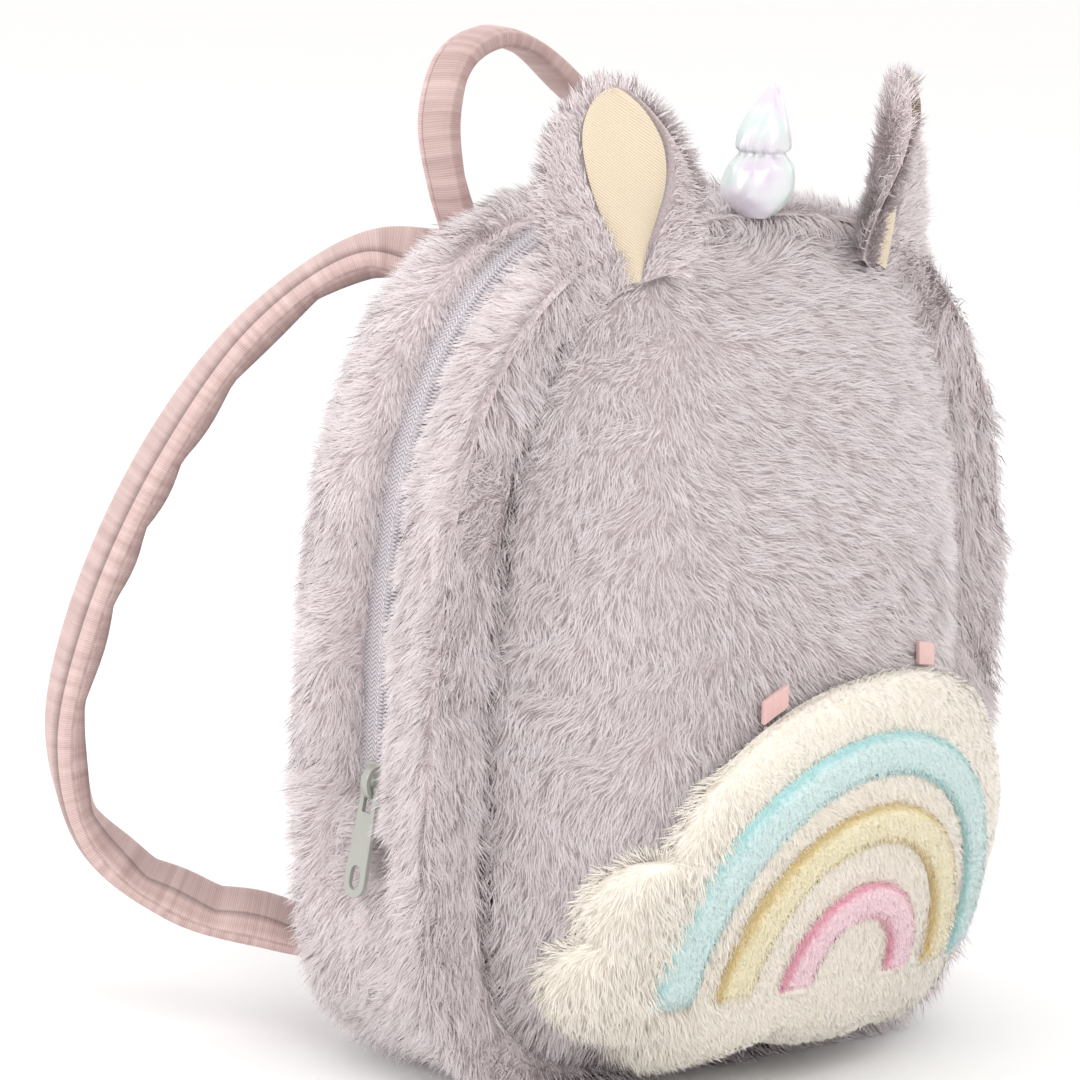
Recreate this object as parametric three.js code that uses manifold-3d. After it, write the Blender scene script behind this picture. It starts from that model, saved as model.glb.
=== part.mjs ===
// A child's plush backpack with ears, a horn and a rainbow pocket.
// The bag rests on Z = 0, its front faces -Y and the zip pull hangs on the -X side.
// The origin is the centre of the flat base. All sizes are in millimetres.
import * as THREE from "three";
import { mergeVertices } from "three/addons/utils/BufferGeometryUtils.js";
import Module from "manifold-3d";

const wasm = await Module();
wasm.setup();

// Bag body: outlines seen from the front, where each seam or swell of the fur lies
const frontSeam = { halfWidth: 91, top: 262, bottom: 7, y: -34 };
const rearSeam = { halfWidth: 98, top: 264, bottom: 6, y: 44 };
const belly = { halfWidth: 118, top: 271, bottom: -4 };
const zipLine = { halfWidth: 105, top: 266.5, bottom: 1 };
const widestHeight = 120;
const topSquareness = 2.7;
const bottomSquareness = 4.5;
const plushThickness = 9;
const frontDome = {
  depth: 46, thickness: 8, topFullness: 2.2, bottomFullness: 4.6, segments: 44,
  shares: [0.12, 0.35, 0.57, 0.76, 0.9, 1],
};
const backDome = { depth: 6, thickness: 7, fullness: 3, segments: 40, shares: [0.3, 0.7, 0.9, 1] };
const gap = 0.3;

// Zip: a slit over the top of the bag from one flank to the other
const slit = { front: 6.7, rear: 12.7, endHeight: 88, fadeHeight: 40, hollow: 0.93, hollowWidth: 11 };
const tapeThickness = 1;
const coil = { width: 6.2, height: 2.4 };
const slider = {
  length: 12, width: 10.5, footWidth: 8, corner: 1.5, thickness: 3.2,
  bridgeHeight: 4.5, bridgeBar: 1.5, bridgeWidth: 3.2, bridgeInset: 0.5, bridgeRoot: 1,
};
const pull = {
  length: 34, width: 9.6, neck: 7.6, corner: 0.7, thickness: 1.4, bar: 1.4, hang: 1.25, drop: 2,
  clearance: 1.6, slotLength: 6.5, slotWidth: 4.2, slotCorner: 0.4,
  holeLength: 7.5, holeWidth: 4.8, holeMargin: 2.4,
};

// Ears, horn, carrying handle and shoulder straps
const ear = {
  across: 0.55, width: 49, height: 64, thickness: 9, edge: 5, cup: 8, turn: 30, splay: 7, sink: 6,
  columns: 8, rows: 7,
  liningWidth: 25, liningThickness: 1.5, liningGap: 0.5, liningStart: 0.1, liningEnd: 0.93,
};
const horn = { x: 0, height: 44.5, radius: 10.6, lean: 5 };
const handle = { spread: 0.46, rise: 61, width: 17, thickness: 6, offset: 3, lean: 10, sink: 5 };
const strap = {
  topAcross: 0.41, topHeight: 241, bottomAcross: 0.857, bottomHeight: 33, reach: 100, splay: 52,
  width: 32, thickness: 10, sink: 4,
};

// Cloud pocket with three raised bands and two ribbon tabs behind its upper edge
const cloud = {
  halfWidth: 94, bottom: 10, height: 124, loft: 16, acrossRadius: 150, uprightRadius: 190, crownZ: 105,
  rim: 2, gap: 0.8, edgeLift: 2, seamShare: 0.93, edgeSquareness: 12, segments: 56,
  backShares: [0.12, 0.32, 0.5, 0.66, 0.8, 0.91, 1], faceShares: [1, 0.96, 0.86, 0.7, 0.45, 0.2],
};
const rainbow = {
  across: 0.133, up: 0.242, stretch: 0.12, raise: 4.5, gap: 0.8, sweepStart: -4, sweepEnd: 184, segments: 16,
};
const blueBand = { radius: 63.5, width: 12.5 };
const yellowBand = { radius: 44, width: 11.5 };
const pinkBand = { radius: 22, width: 11 };
const ribbon = { width: 9, length: 7, thickness: 2, gap: 0.5, leftX: -22, rightX: 43 };

const degrees = Math.PI / 180;
const mix = (a, b, share) => a + (b - a) * share;
const clamp = (value, low, high) => Math.min(Math.max(value, low), high);
const smooth = (share) => share * share * (3 - 2 * share);
const steps = (count) => Array.from({ length: count + 1 }, (_, i) => i / count);

// A smooth curve through the rows of a table, of which up to three columns are read as x, y and z
function curveThrough(rows, columns) {
  const points = rows.map((row) => new THREE.Vector3(...columns.map((name) => row[name] ?? 0)));
  return new THREE.CatmullRomCurve3(points, false, "centripetal");
}

// A closed solid from points and triangles, with its faces turned outward
function solid(points, triangles) {
  let volume = 0;
  for (const [a, b, c] of triangles) volume += points[a].dot(points[b].clone().cross(points[c]));
  const index = triangles.flatMap(([a, b, c]) => (volume > 0 ? [a, b, c] : [a, c, b]));
  const geometry = new THREE.BufferGeometry();
  geometry.setAttribute("position", new THREE.Float32BufferAttribute(points.flatMap((p) => p.toArray()), 3));
  geometry.setIndex(index);
  return geometry;
}

// A wall between two grids of points with the same rows and columns, closed round its rim
function wall(outer, inner) {
  const rows = outer.length;
  const columns = outer[0].length;
  const points = [...outer.flat(), ...inner.flat()];
  const at = (side, r, c) => side * rows * columns + r * columns + c;
  const triangles = [];
  const quad = (a, b, c, d) => triangles.push([a, b, c], [a, c, d]);
  for (let r = 0; r < rows - 1; r++) {
    for (let c = 0; c < columns - 1; c++) {
      quad(at(0, r, c), at(0, r, c + 1), at(0, r + 1, c + 1), at(0, r + 1, c));
      quad(at(1, r, c), at(1, r + 1, c), at(1, r + 1, c + 1), at(1, r, c + 1));
    }
    quad(at(0, r, 0), at(0, r + 1, 0), at(1, r + 1, 0), at(1, r, 0));
    quad(at(0, r, columns - 1), at(1, r, columns - 1), at(1, r + 1, columns - 1), at(0, r + 1, columns - 1));
  }
  for (let c = 0; c < columns - 1; c++) {
    quad(at(0, 0, c), at(1, 0, c), at(1, 0, c + 1), at(0, 0, c + 1));
    quad(at(0, rows - 1, c), at(0, rows - 1, c + 1), at(1, rows - 1, c + 1), at(1, rows - 1, c));
  }
  return solid(points, triangles);
}

// A skin over closed loops of points, each end drawn in to the middle of its loop
function skinned(loops) {
  const count = loops[0].length;
  const middle = (loop) => loop.reduce((sum, p) => sum.add(p), new THREE.Vector3()).divideScalar(count);
  const points = [...loops.flat(), middle(loops[0]), middle(loops[loops.length - 1])];
  const firstPole = points.length - 2;
  const lastRow = (loops.length - 1) * count;
  const triangles = [];
  for (let c = 0; c < count; c++) {
    const next = (c + 1) % count;
    for (let row = 0; row < lastRow; row += count) {
      const above = row + count;
      triangles.push([row + c, row + next, above + next], [row + c, above + next, above + c]);
    }
    triangles.push([firstPole, next, c], [firstPole + 1, lastRow + c, lastRow + next]);
  }
  return solid(points, triangles);
}

// A geometry joined with others or cut by them, of which the largest body is kept
function combined(geometry, others, operation) {
  const toManifold = (source) => {
    const bare = source.clone();
    bare.deleteAttribute("normal");
    bare.deleteAttribute("uv");
    const merged = mergeVertices(bare, 1e-4);
    const vertProperties = new Float32Array(merged.attributes.position.array);
    const triVerts = new Uint32Array(merged.index.array);
    return new wasm.Manifold(new wasm.Mesh({ numProp: 3, vertProperties, triVerts }));
  };
  const result = others.reduce((body, other) => body[operation](toManifold(other)), toManifold(geometry));
  const largest = result.decompose().reduce((a, b) => (a.volume() > b.volume() ? a : b));
  const mesh = largest.getMesh();
  const whole = new THREE.BufferGeometry();
  whole.setAttribute("position", new THREE.Float32BufferAttribute(mesh.vertProperties, 3));
  whole.setIndex(new THREE.Uint32BufferAttribute(mesh.triVerts, 1));
  return whole;
}

// An outline between two others, such as a seam and the belly
function outlineBetween(from, to, share) {
  return {
    halfWidth: mix(from.halfWidth, to.halfWidth, share),
    top: mix(from.top, to.top, share),
    bottom: mix(from.bottom, to.bottom, share),
  };
}

// The squareness and half height of an outline above or below its widest level
function halfShape(outline, isUpper) {
  return isUpper
    ? { power: topSquareness, halfHeight: outline.top - widestHeight }
    : { power: bottomSquareness, halfHeight: widestHeight - outline.bottom };
}

// The share of the way from the middle of an outline to its edge at a place x, z
function outlineShare(outline, x, z) {
  const { power, halfHeight } = halfShape(outline, z >= widestHeight);
  const sideways = Math.abs(x / outline.halfWidth) ** power;
  const upright = Math.abs((z - widestHeight) / halfHeight) ** power;
  return (sideways + upright) ** (1 / power);
}

// A point at an angle on the arch-shaped outline, moved out by a lift, in by a share and held above the floor
function outlinePoint(outline, angle, lift, y, share = 1) {
  const reach = 1 / outlineShare(outline, Math.cos(angle), widestHeight + Math.sin(angle));
  const length = (reach + lift) * share;
  return new THREE.Vector3(length * Math.cos(angle), y, Math.max(widestHeight + length * Math.sin(angle), 0));
}

// Section of a side strip from its seam (across 0) to the slit (across 1). Swell is the share of the way
// out to the belly, forward is how far the fur of the front strip rolls over its seam, and outward is -1
// under that roll, where the fur faces the middle of the bag.
const frontSwell = [
  { across: 0, swell: 0, forward: 0, outward: -1, innerAcross: 0, innerSwell: 0 },
  { across: 0, swell: 0.35, forward: 3.5, outward: -1, innerAcross: 0.12, innerSwell: 0.1 },
  { across: 0, swell: 0.8, forward: 3, outward: 1, innerAcross: 0.28, innerSwell: 0.4 },
  { across: 0.14, swell: 1, forward: 0, outward: 1, innerAcross: 0.5, innerSwell: 0.8 },
  { across: 0.6, swell: 1, forward: 0, outward: 1, innerAcross: 0.75, innerSwell: 1 },
  { across: 1, swell: 0.9, forward: 0, outward: 1, innerAcross: 1, innerSwell: 0.9 },
];
const rearSwell = [
  { across: 0, swell: 0, forward: 0, outward: 1, innerAcross: 0, innerSwell: 0 },
  { across: 0.1, swell: 0.5, forward: 0, outward: 1, innerAcross: 0.1, innerSwell: 0.5 },
  { across: 0.3, swell: 0.85, forward: 0, outward: 1, innerAcross: 0.3, innerSwell: 0.85 },
  { across: 0.65, swell: 1, forward: 0, outward: 1, innerAcross: 0.65, innerSwell: 1 },
  { across: 1, swell: 0.9, forward: 0, outward: 1, innerAcross: 1, innerSwell: 0.9 },
];

// The same section at its real places in y, made larger all round by grow
function stripRows(swellTable, seam, edge, grow) {
  const seamY = seam.y + grow * Math.sign(seam.y);
  return swellTable.map((row) => ({
    seam,
    outer: { y: mix(seamY, edge, row.across) - row.forward, swell: row.swell, lift: grow * row.outward },
    inner: { y: mix(seamY, edge, row.innerAcross), swell: row.innerSwell, lift: -plushThickness - grow },
  }));
}

const frontRows = (grow = 0) => stripRows(frontSwell, frontSeam, -slit.front + grow, grow);
const rearRows = (grow = 0) => stripRows(rearSwell, rearSeam, slit.rear - grow, grow);
const slitAngle = Math.atan2(slit.endHeight - widestHeight, zipLine.halfWidth);
const topStart = slitAngle;
const topEnd = Math.PI - slitAngle;

// An outline drawn in towards the zip line at a height below the slit, where the pull lies
function hollowed(outline, y, height) {
  const fade = smooth(clamp((height - slit.fadeHeight) / (slit.endHeight - slit.fadeHeight), 0, 1));
  return outlineBetween(outline, zipLine, slit.hollow * fade * Math.exp(-((y / slit.hollowWidth) ** 2)));
}

// A plush strip along the flank between two angles, hollowed on the left below the slit
function plushStrip(rows, startAngle, endAngle, count) {
  const grid = (layer) => steps(count).map((along) => {
    const angle = mix(startAngle, endAngle, along);
    const height = outlinePoint(zipLine, angle, 0, 0).z;
    const isHollowed = angle > topEnd && angle < Math.PI * 1.5;
    return rows.map((row) => {
      const { y, swell, lift } = row[layer];
      const outline = outlineBetween(row.seam, belly, swell);
      return outlinePoint(isHollowed ? hollowed(outline, y, height) : outline, angle, lift, y);
    });
  });
  return wall(grid("outer"), grid("inner"));
}

const jointAngle = gap / zipLine.halfWidth;
const topSteps = 34;
const baseSteps = 24;

function gussetFront(grow = 0) {
  return plushStrip(frontRows(grow), topStart, topEnd, topSteps);
}

function gussetRear(grow = 0) {
  return plushStrip(rearRows(grow), topStart, topEnd, topSteps);
}

// The strip below the ends of the slit runs whole from the front seam to the rear seam
function gussetBase(grow = 0) {
  const middleRow = {
    seam: frontSeam,
    outer: { y: 0, swell: 1, lift: grow },
    inner: { y: 0, swell: 1, lift: -plushThickness - grow },
  };
  const rows = [...frontRows(grow), middleRow, ...rearRows(grow).reverse()];
  return plushStrip(rows, topEnd + jointAngle, 2 * Math.PI + topStart - jointAngle, baseSteps);
}

// How far the front panel stands forward at a share of the way out to its seam
function domeFullness(angle) {
  return mix(frontDome.topFullness, frontDome.bottomFullness, (1 - Math.sin(angle)) / 2);
}

function frontHeight(depth, share, angle) {
  return frontSeam.y - gap - depth * (1 - share ** domeFullness(angle));
}

// A domed panel: an outer skin, its rim in the seam and an inner skin
function domedPanel(outline, heightAt, { depth, thickness, shares, segments }, grow) {
  const angles = steps(segments).slice(0, -1).map((share) => share * 2 * Math.PI);
  const loop = (share, lift, panelDepth) => angles.map((angle) =>
    outlinePoint(outline, angle, lift, heightAt(panelDepth, share, angle), share));
  const outer = shares.map((share) => loop(share, grow - gap, depth + grow));
  const inner = shares.map((share) => loop(share, -thickness - grow, depth - thickness - grow)).reverse();
  return skinned([...outer, ...inner]);
}

function frontPanel(grow = 0) {
  return domedPanel(frontSeam, frontHeight, frontDome, grow);
}

function backPanel(grow = 0) {
  const heightAt = (depth, share) => rearSeam.y + gap + depth * (1 - share ** backDome.fullness);
  return domedPanel(rearSeam, heightAt, backDome, grow);
}

// A thin band along the zip line up to an end angle, from an inner lift to an outer lift
function zipBand(endAngle, fromY, toY, innerLift, outerLift) {
  const facets = steps(topSteps).map((along) => mix(topStart, topEnd, along));
  const angles = [...facets.filter((angle) => angle < endAngle - jointAngle), endAngle];
  const row = (angle, lift) => [fromY, toY].map((y) => outlinePoint(zipLine, angle, lift, y));
  const grid = (lift) => angles.map((angle) => row(angle, lift));
  return wall(grid(outerLift), grid(innerLift));
}

function zipTape() {
  return zipBand(topEnd, -slit.front + gap, slit.rear - gap, -tapeThickness, 0);
}

// The slider stands on the tape at the lower end of the slit, and the coil stops just above it
const sliderMiddle = slit.endHeight + slider.length / 2 + 3 * gap;
const coilEnd = sliderMiddle + slider.length / 2 + gap;
const sliderAngle = Math.PI - Math.atan2(coilEnd - widestHeight, zipLine.halfWidth + gap + coil.height);

function zipCoil() {
  return zipBand(sliderAngle, -coil.width / 2, coil.width / 2, gap, gap + coil.height);
}

// The slider and pull are drawn flat and then turned, so that they face out from the flank
const outward = new THREE.Vector3(-1, 0, 0);
const upward = new THREE.Vector3(0, 0, 1);
const rearward = new THREE.Vector3(0, 1, 0);
const tapeX = outlinePoint(zipLine, topEnd, 0, 0).x;

// A plate rounded at its foot and square at its head, with its head at y = headY
function plateShape(headY, footY, headWidth, footWidth, corner) {
  const shape = new THREE.Shape();
  shape.absarc(0, footY + footWidth / 2, footWidth / 2, Math.PI, 2 * Math.PI);
  shape.absarc(headWidth / 2 - corner, headY - corner, corner, 0, Math.PI / 2);
  shape.absarc(corner - headWidth / 2, headY - corner, corner, Math.PI / 2, Math.PI);
  shape.closePath();
  return shape;
}

// A hole with rounded corners between two heights
function slotPath(topY, bottomY, width, corner) {
  const path = new THREE.Path();
  const x = width / 2 - corner;
  path.absarc(x, topY - corner, corner, Math.PI / 2, 0, true);
  path.absarc(x, bottomY + corner, corner, 0, -Math.PI / 2, true);
  path.absarc(-x, bottomY + corner, corner, -Math.PI / 2, -Math.PI, true);
  path.absarc(-x, topY - corner, corner, Math.PI, Math.PI / 2, true);
  path.closePath();
  return path;
}

function extruded(shape, depth, curveSegments) {
  return new THREE.ExtrudeGeometry(shape, { depth, bevelEnabled: false, curveSegments });
}

// The slider is a plate over the tape with an arched bridge along it, which holds the pull
function zipSlider() {
  const halfLength = slider.length / 2;
  const bodyShape = plateShape(halfLength, -halfLength, slider.width, slider.footWidth, slider.corner);
  const body = extruded(bodyShape, slider.thickness, 5);
  body.applyMatrix4(new THREE.Matrix4().makeBasis(rearward.clone().negate(), upward, outward));
  const archHalf = halfLength - slider.bridgeInset;
  const arch = new THREE.Shape();
  arch.moveTo(slider.thickness - slider.bridgeRoot, -archHalf);
  arch.absellipse(slider.thickness, 0, slider.bridgeHeight, archHalf, -Math.PI / 2, Math.PI / 2);
  arch.lineTo(slider.thickness - slider.bridgeRoot, archHalf);
  arch.closePath();
  const openHalf = archHalf - slider.bridgeBar;
  const opening = new THREE.Path();
  const openHeight = slider.bridgeHeight - slider.bridgeBar;
  opening.absellipse(slider.thickness, 0, openHeight, openHalf, Math.PI / 2, -Math.PI / 2, true);
  opening.closePath();
  arch.holes.push(opening);
  const bridge = extruded(arch, slider.bridgeWidth, 7);
  bridge.translate(0, 0, -slider.bridgeWidth / 2);
  bridge.applyMatrix4(new THREE.Matrix4().makeBasis(outward, upward, rearward));
  return combined(body, [bridge], "add");
}

// How far out the pull's hinge lies, and the tilt at which its foot rests on the fur of the flank
const pullTop = sliderMiddle - pull.drop;
const hingeX = tapeX - gap - slider.thickness - pull.hang;

function pullTilt() {
  const footHeight = pullTop - pull.length;
  const outline = hollowed(belly, pull.width / 2, footHeight);
  const { power, halfHeight } = halfShape(outline, false);
  const reach = outline.halfWidth * (1 - ((widestHeight - footHeight) / halfHeight) ** power) ** (1 / power);
  return Math.asin((reach + pull.clearance + hingeX) / pull.length);
}

// The pull hangs by the bar at its head, which passes through the bridge
function zipPull() {
  const barHalf = pull.bar / 2;
  const foot = barHalf - pull.length;
  const shape = plateShape(barHalf, foot, pull.neck, pull.width, pull.corner);
  shape.holes.push(slotPath(-barHalf, -barHalf - pull.slotLength, pull.slotWidth, pull.slotCorner));
  const holeFoot = foot + pull.holeMargin;
  shape.holes.push(slotPath(holeFoot + pull.holeLength, holeFoot, pull.holeWidth, 0.49 * pull.holeWidth));
  const plate = extruded(shape, pull.thickness, 5);
  plate.translate(0, 0, -pull.thickness / 2);
  return plate.applyMatrix4(new THREE.Matrix4().makeBasis(rearward.clone().negate(), upward, outward));
}

// Height of an outline's upper edge over a place across the bag
function outlineHeight(outline, x) {
  const share = Math.min(Math.abs(x) / outline.halfWidth, 0.98);
  const { power, halfHeight } = halfShape(outline, true);
  return widestHeight + halfHeight * (1 - share ** power) ** (1 / power);
}

const seamHeight = (x) => outlineHeight(frontSeam, x);

// Ear outline from its seam (up 0) to its tip (up 1), as shares of its half width
const earOutline = [
  { up: 0, wide: 0.72 },
  { up: 0.25, wide: 0.9 },
  { up: 0.5, wide: 1 },
  { up: 0.72, wide: 0.88 },
  { up: 0.88, wide: 0.6 },
  { up: 0.97, wide: 0.3 },
  { up: 1, wide: 0.12 },
];
const earCurve = curveThrough(earOutline, ["wide", "up"]);

const earX = ear.across * frontSeam.halfWidth;

// One leaf of an ear between two depths, out to a share of the ear's width, with side -1 on the left
function earLeaf(side, span, rowsUp, depthsAt) {
  const turn = ear.turn * degrees;
  const facing = new THREE.Vector3(side * Math.sin(turn), -Math.cos(turn), 0);
  const sideways = new THREE.Vector3(Math.cos(turn), side * Math.sin(turn), 0);
  const rising = new THREE.Vector3(side * Math.sin(ear.splay * degrees), 0, Math.cos(ear.splay * degrees));
  const root = new THREE.Vector3(side * earX, frontSeam.y, seamHeight(earX) - ear.sink);
  const pointAt = (across, share, depth) => {
    const outline = earCurve.getPoint(share);
    const point = root.clone()
      .addScaledVector(sideways, across * outline.x * ear.width / 2)
      .addScaledVector(rising, outline.y * ear.height)
      .addScaledVector(facing, ear.cup * across * across * outline.x + depth);
    point.z += (seamHeight(point.x) - seamHeight(earX)) * (1 - outline.y) ** 2;
    return point;
  };
  const grid = (layer) => rowsUp.map((share) => steps(ear.columns).map((t) => {
    const across = (2 * t - 1) * span;
    return pointAt(across, share, depthsAt(across)[layer]);
  }));
  return wall(grid(1), grid(0));
}

function earThickness(across) {
  return mix(ear.thickness, ear.edge, across * across);
}

function earShell(side) {
  const leaf = earLeaf(side, 1, steps(ear.rows), (across) => {
    const half = earThickness(across) / 2;
    return [-half, half];
  });
  return combined(leaf, [gussetFront(gap), frontPanel(gap)], "subtract");
}

function earLining(side) {
  const rowsUp = steps(ear.rows).map((share) => mix(ear.liningStart, ear.liningEnd, share));
  const leaf = earLeaf(side, ear.liningWidth / ear.width, rowsUp, (across) => {
    const face = earThickness(across) / 2 + ear.liningGap;
    return [face, face + ear.liningThickness];
  });
  return combined(leaf, [gussetFront(gap), frontPanel(gap)], "subtract");
}

// Horn profile from its seam upward: height over the seam and radius, as shares of the horn's sizes
const hornProfile = [
  { up: -0.33, out: 0.78 },
  { up: -0.1, out: 0.97 },
  { up: 0.16, out: 1 },
  { up: 0.4, out: 0.9 },
  { up: 0.52, out: 0.68 },
  { up: 0.56, out: 0.66 },
  { up: 0.63, out: 0.74 },
  { up: 0.82, out: 0.5 },
  { up: 0.95, out: 0.26 },
  { up: 1, out: 0 },
];

function hornBody() {
  const rows = hornProfile.map(({ up, out }) => new THREE.Vector2(out * horn.radius, up * horn.height));
  const profile = [new THREE.Vector2(0, rows[0].y), ...rows];
  const lathe = new THREE.LatheGeometry(profile, 16);
  lathe.rotateX(Math.PI / 2);
  lathe.rotateY(horn.lean * degrees);
  lathe.translate(horn.x, frontSeam.y, seamHeight(horn.x));
  return combined(lathe, [gussetFront(gap), frontPanel(gap)], "subtract");
}

// Half section of a padded band: place across and height, as shares of half its width and half its thickness
const bandSection = [
  { across: 1, high: 0.42 },
  { across: 0.66, high: 0.92 },
  { across: 0, high: 1 },
  { across: -0.66, high: 0.92 },
  { across: -1, high: 0.42 },
];

// A padded band swept along a route, its width held square to the route
function paddedBand(route, widthDirectionAt, width, thickness, count) {
  const loops = steps(count).map((share) => {
    const centre = route.getPoint(share);
    const along = route.getTangent(share);
    const wide = widthDirectionAt(share);
    wide.addScaledVector(along, -wide.dot(along)).normalize();
    const high = along.clone().cross(wide);
    const face = (sign) => bandSection.map((row) => centre.clone()
      .addScaledVector(wide, row.across * width / 2 * sign)
      .addScaledVector(high, row.high * thickness / 2 * sign));
    return [...face(1), ...face(-1)];
  });
  return skinned(loops);
}

// Carrying handle: place across, height and lean, as shares of its half spread, rise and lean
const handleRoute = [
  { across: -1, up: 0, back: 0 },
  { across: -1.16, up: 0.3, back: 0.2 },
  { across: -1.2, up: 0.62, back: 0.6 },
  { across: -1.02, up: 0.9, back: 0.9 },
  { across: -0.7, up: 1, back: 1 },
  { across: -0.35, up: 0.93, back: 1 },
  { across: 0.05, up: 0.72, back: 0.8 },
  { across: 0.58, up: 0.36, back: 0.4 },
  { across: 1, up: 0, back: 0 },
];

function carryingHandle() {
  const halfSpread = handle.spread * rearSeam.halfWidth;
  const rootZ = outlineHeight(rearSeam, halfSpread) - handle.sink;
  const rows = handleRoute.map(({ across, up, back }) => ({
    x: across * halfSpread,
    y: rearSeam.y + handle.offset + back * handle.lean,
    z: rootZ + up * (handle.rise + handle.sink),
  }));
  const route = curveThrough(rows, ["x", "y", "z"]);
  const band = paddedBand(route, () => rearward.clone(), handle.width, handle.thickness, 22);
  return combined(band, [gussetRear(gap), backPanel(gap)], "subtract");
}

// Shoulder strap from its upper to its lower seam: reach and height as shares of the strap's sizes,
// and how far its width is turned from the X axis and dipped, in degrees
const strapRoute = [
  { reach: 0, up: 1, turn: 20, dip: 20 },
  { reach: 0.17, up: 1.012, turn: 30, dip: 16 },
  { reach: 0.36, up: 1.015, turn: 46, dip: 7 },
  { reach: 0.64, up: 0.905, turn: 58, dip: 0 },
  { reach: 0.86, up: 0.7, turn: 64, dip: 0 },
  { reach: 0.98, up: 0.45, turn: 64, dip: 0 },
  { reach: 0.97, up: 0.27, turn: 62, dip: 0 },
  { reach: 0.82, up: 0.136, turn: 56, dip: 3 },
  { reach: 0.52, up: 0.048, turn: 50, dip: 6 },
  { reach: 0.2, up: 0.014, turn: 45, dip: 6 },
  { reach: 0, up: 0, turn: 40, dip: 6 },
];

function shoulderStrap(side) {
  const splay = strap.splay * degrees;
  const rows = strapRoute.map(({ reach, up, turn, dip }) => {
    const rootX = mix(strap.bottomAcross, strap.topAcross, up) * rearSeam.halfWidth;
    return {
      x: side * (rootX + Math.sin(splay) * reach * strap.reach),
      y: rearSeam.y + backDome.depth - strap.sink + Math.cos(splay) * reach * strap.reach,
      z: mix(strap.bottomHeight, strap.topHeight, up),
      turn: turn * degrees,
      dip: dip * degrees,
    };
  });
  const route = curveThrough(rows, ["x", "y", "z"]);
  const turns = curveThrough(rows, ["turn", "dip"]);
  const widthDirection = (share) => {
    const place = turns.getPoint(share);
    const level = Math.cos(place.y);
    const sideways = side * level * Math.cos(place.x);
    return new THREE.Vector3(sideways, -level * Math.sin(place.x), -Math.sin(place.y));
  };
  const band = paddedBand(route, widthDirection, strap.width, strap.thickness, 26);
  return combined(band, [gussetRear(gap), gussetBase(gap), backPanel(gap)], "subtract");
}

// Round lobes of the cloud: middle and half size, as shares of its half width and of its height
const cloudLobes = [
  { across: 0.245, up: 0.5, wide: 0.85, high: 0.496 },
  { across: -0.605, up: 0.435, wide: 0.2, high: 0.153 },
  { across: -0.66, up: 0.258, wide: 0.197, high: 0.149 },
  { across: -0.34, up: 0.25, wide: 0.34, high: 0.258 },
  { across: 0.617, up: 0.266, wide: 0.34, high: 0.258 },
  { across: 0.83, up: 0.339, wide: 0.223, high: 0.169 },
];
const cloudMiddle = { x: 0.085 * cloud.halfWidth, z: cloud.bottom + 0.45 * cloud.height };

// Distance from the cloud's middle to the outermost lobe's edge in one direction
function cloudReach(angle) {
  const reaches = cloudLobes.map(({ across, up, wide, high }) => {
    const size = new THREE.Vector2(wide * cloud.halfWidth, high * cloud.height);
    const centre = new THREE.Vector2(
      across * cloud.halfWidth - cloudMiddle.x,
      cloud.bottom + up * cloud.height - cloudMiddle.z,
    ).divide(size);
    const direction = new THREE.Vector2(Math.cos(angle), Math.sin(angle)).divide(size);
    const speed = direction.length();
    const along = direction.dot(centre) / speed;
    const inside = 1 - centre.lengthSq() + along * along;
    return inside > 0 ? (along + Math.sqrt(inside)) / speed : 0;
  });
  return Math.max(...reaches);
}

// Depth of the front panel behind a place on the front, held level past its seam
function panelDepth(x, z) {
  const share = Math.min(outlineShare(frontSeam, x, z), cloud.seamShare);
  return frontHeight(frontDome.depth, share, Math.atan2(z - widestHeight, x));
}

// The share of the way from the cloud's middle to its edge at a place
function cloudShare(x, z) {
  const angle = Math.atan2(z - cloudMiddle.z, x - cloudMiddle.x);
  return Math.min(Math.hypot(x - cloudMiddle.x, z - cloudMiddle.z) / cloudReach(angle), 1);
}

// Depth of the cloud's back, which stands off the panel a little towards its edge
function cloudBack(x, z) {
  return panelDepth(x, z) - cloud.gap - cloud.edgeLift * cloudShare(x, z) ** 4;
}

// Depth of the cloud's puffed face at a place
function cloudFace(x, z) {
  const share = cloudShare(x, z);
  const crown = frontSeam.y - frontDome.depth - cloud.loft
    + x * x / (2 * cloud.acrossRadius) + (z - cloud.crownZ) ** 2 / (2 * cloud.uprightRadius);
  return mix(cloudBack(x, z) - cloud.rim, crown, (1 - share ** cloud.edgeSquareness) ** 0.5);
}

function pocketCloud() {
  const angles = steps(cloud.segments).slice(0, -1).map((share) => share * 2 * Math.PI);
  const loop = (share, depthAt) => angles.map((angle) => {
    const reach = cloudReach(angle) * share;
    const x = cloudMiddle.x + reach * Math.cos(angle);
    const z = cloudMiddle.z + reach * Math.sin(angle);
    return new THREE.Vector3(x, depthAt(x, z), z);
  });
  const back = cloud.backShares.map((share) => loop(share, cloudBack));
  const face = cloud.faceShares.map((share) => loop(share, cloudFace));
  return skinned([...back, ...face]);
}

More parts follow.
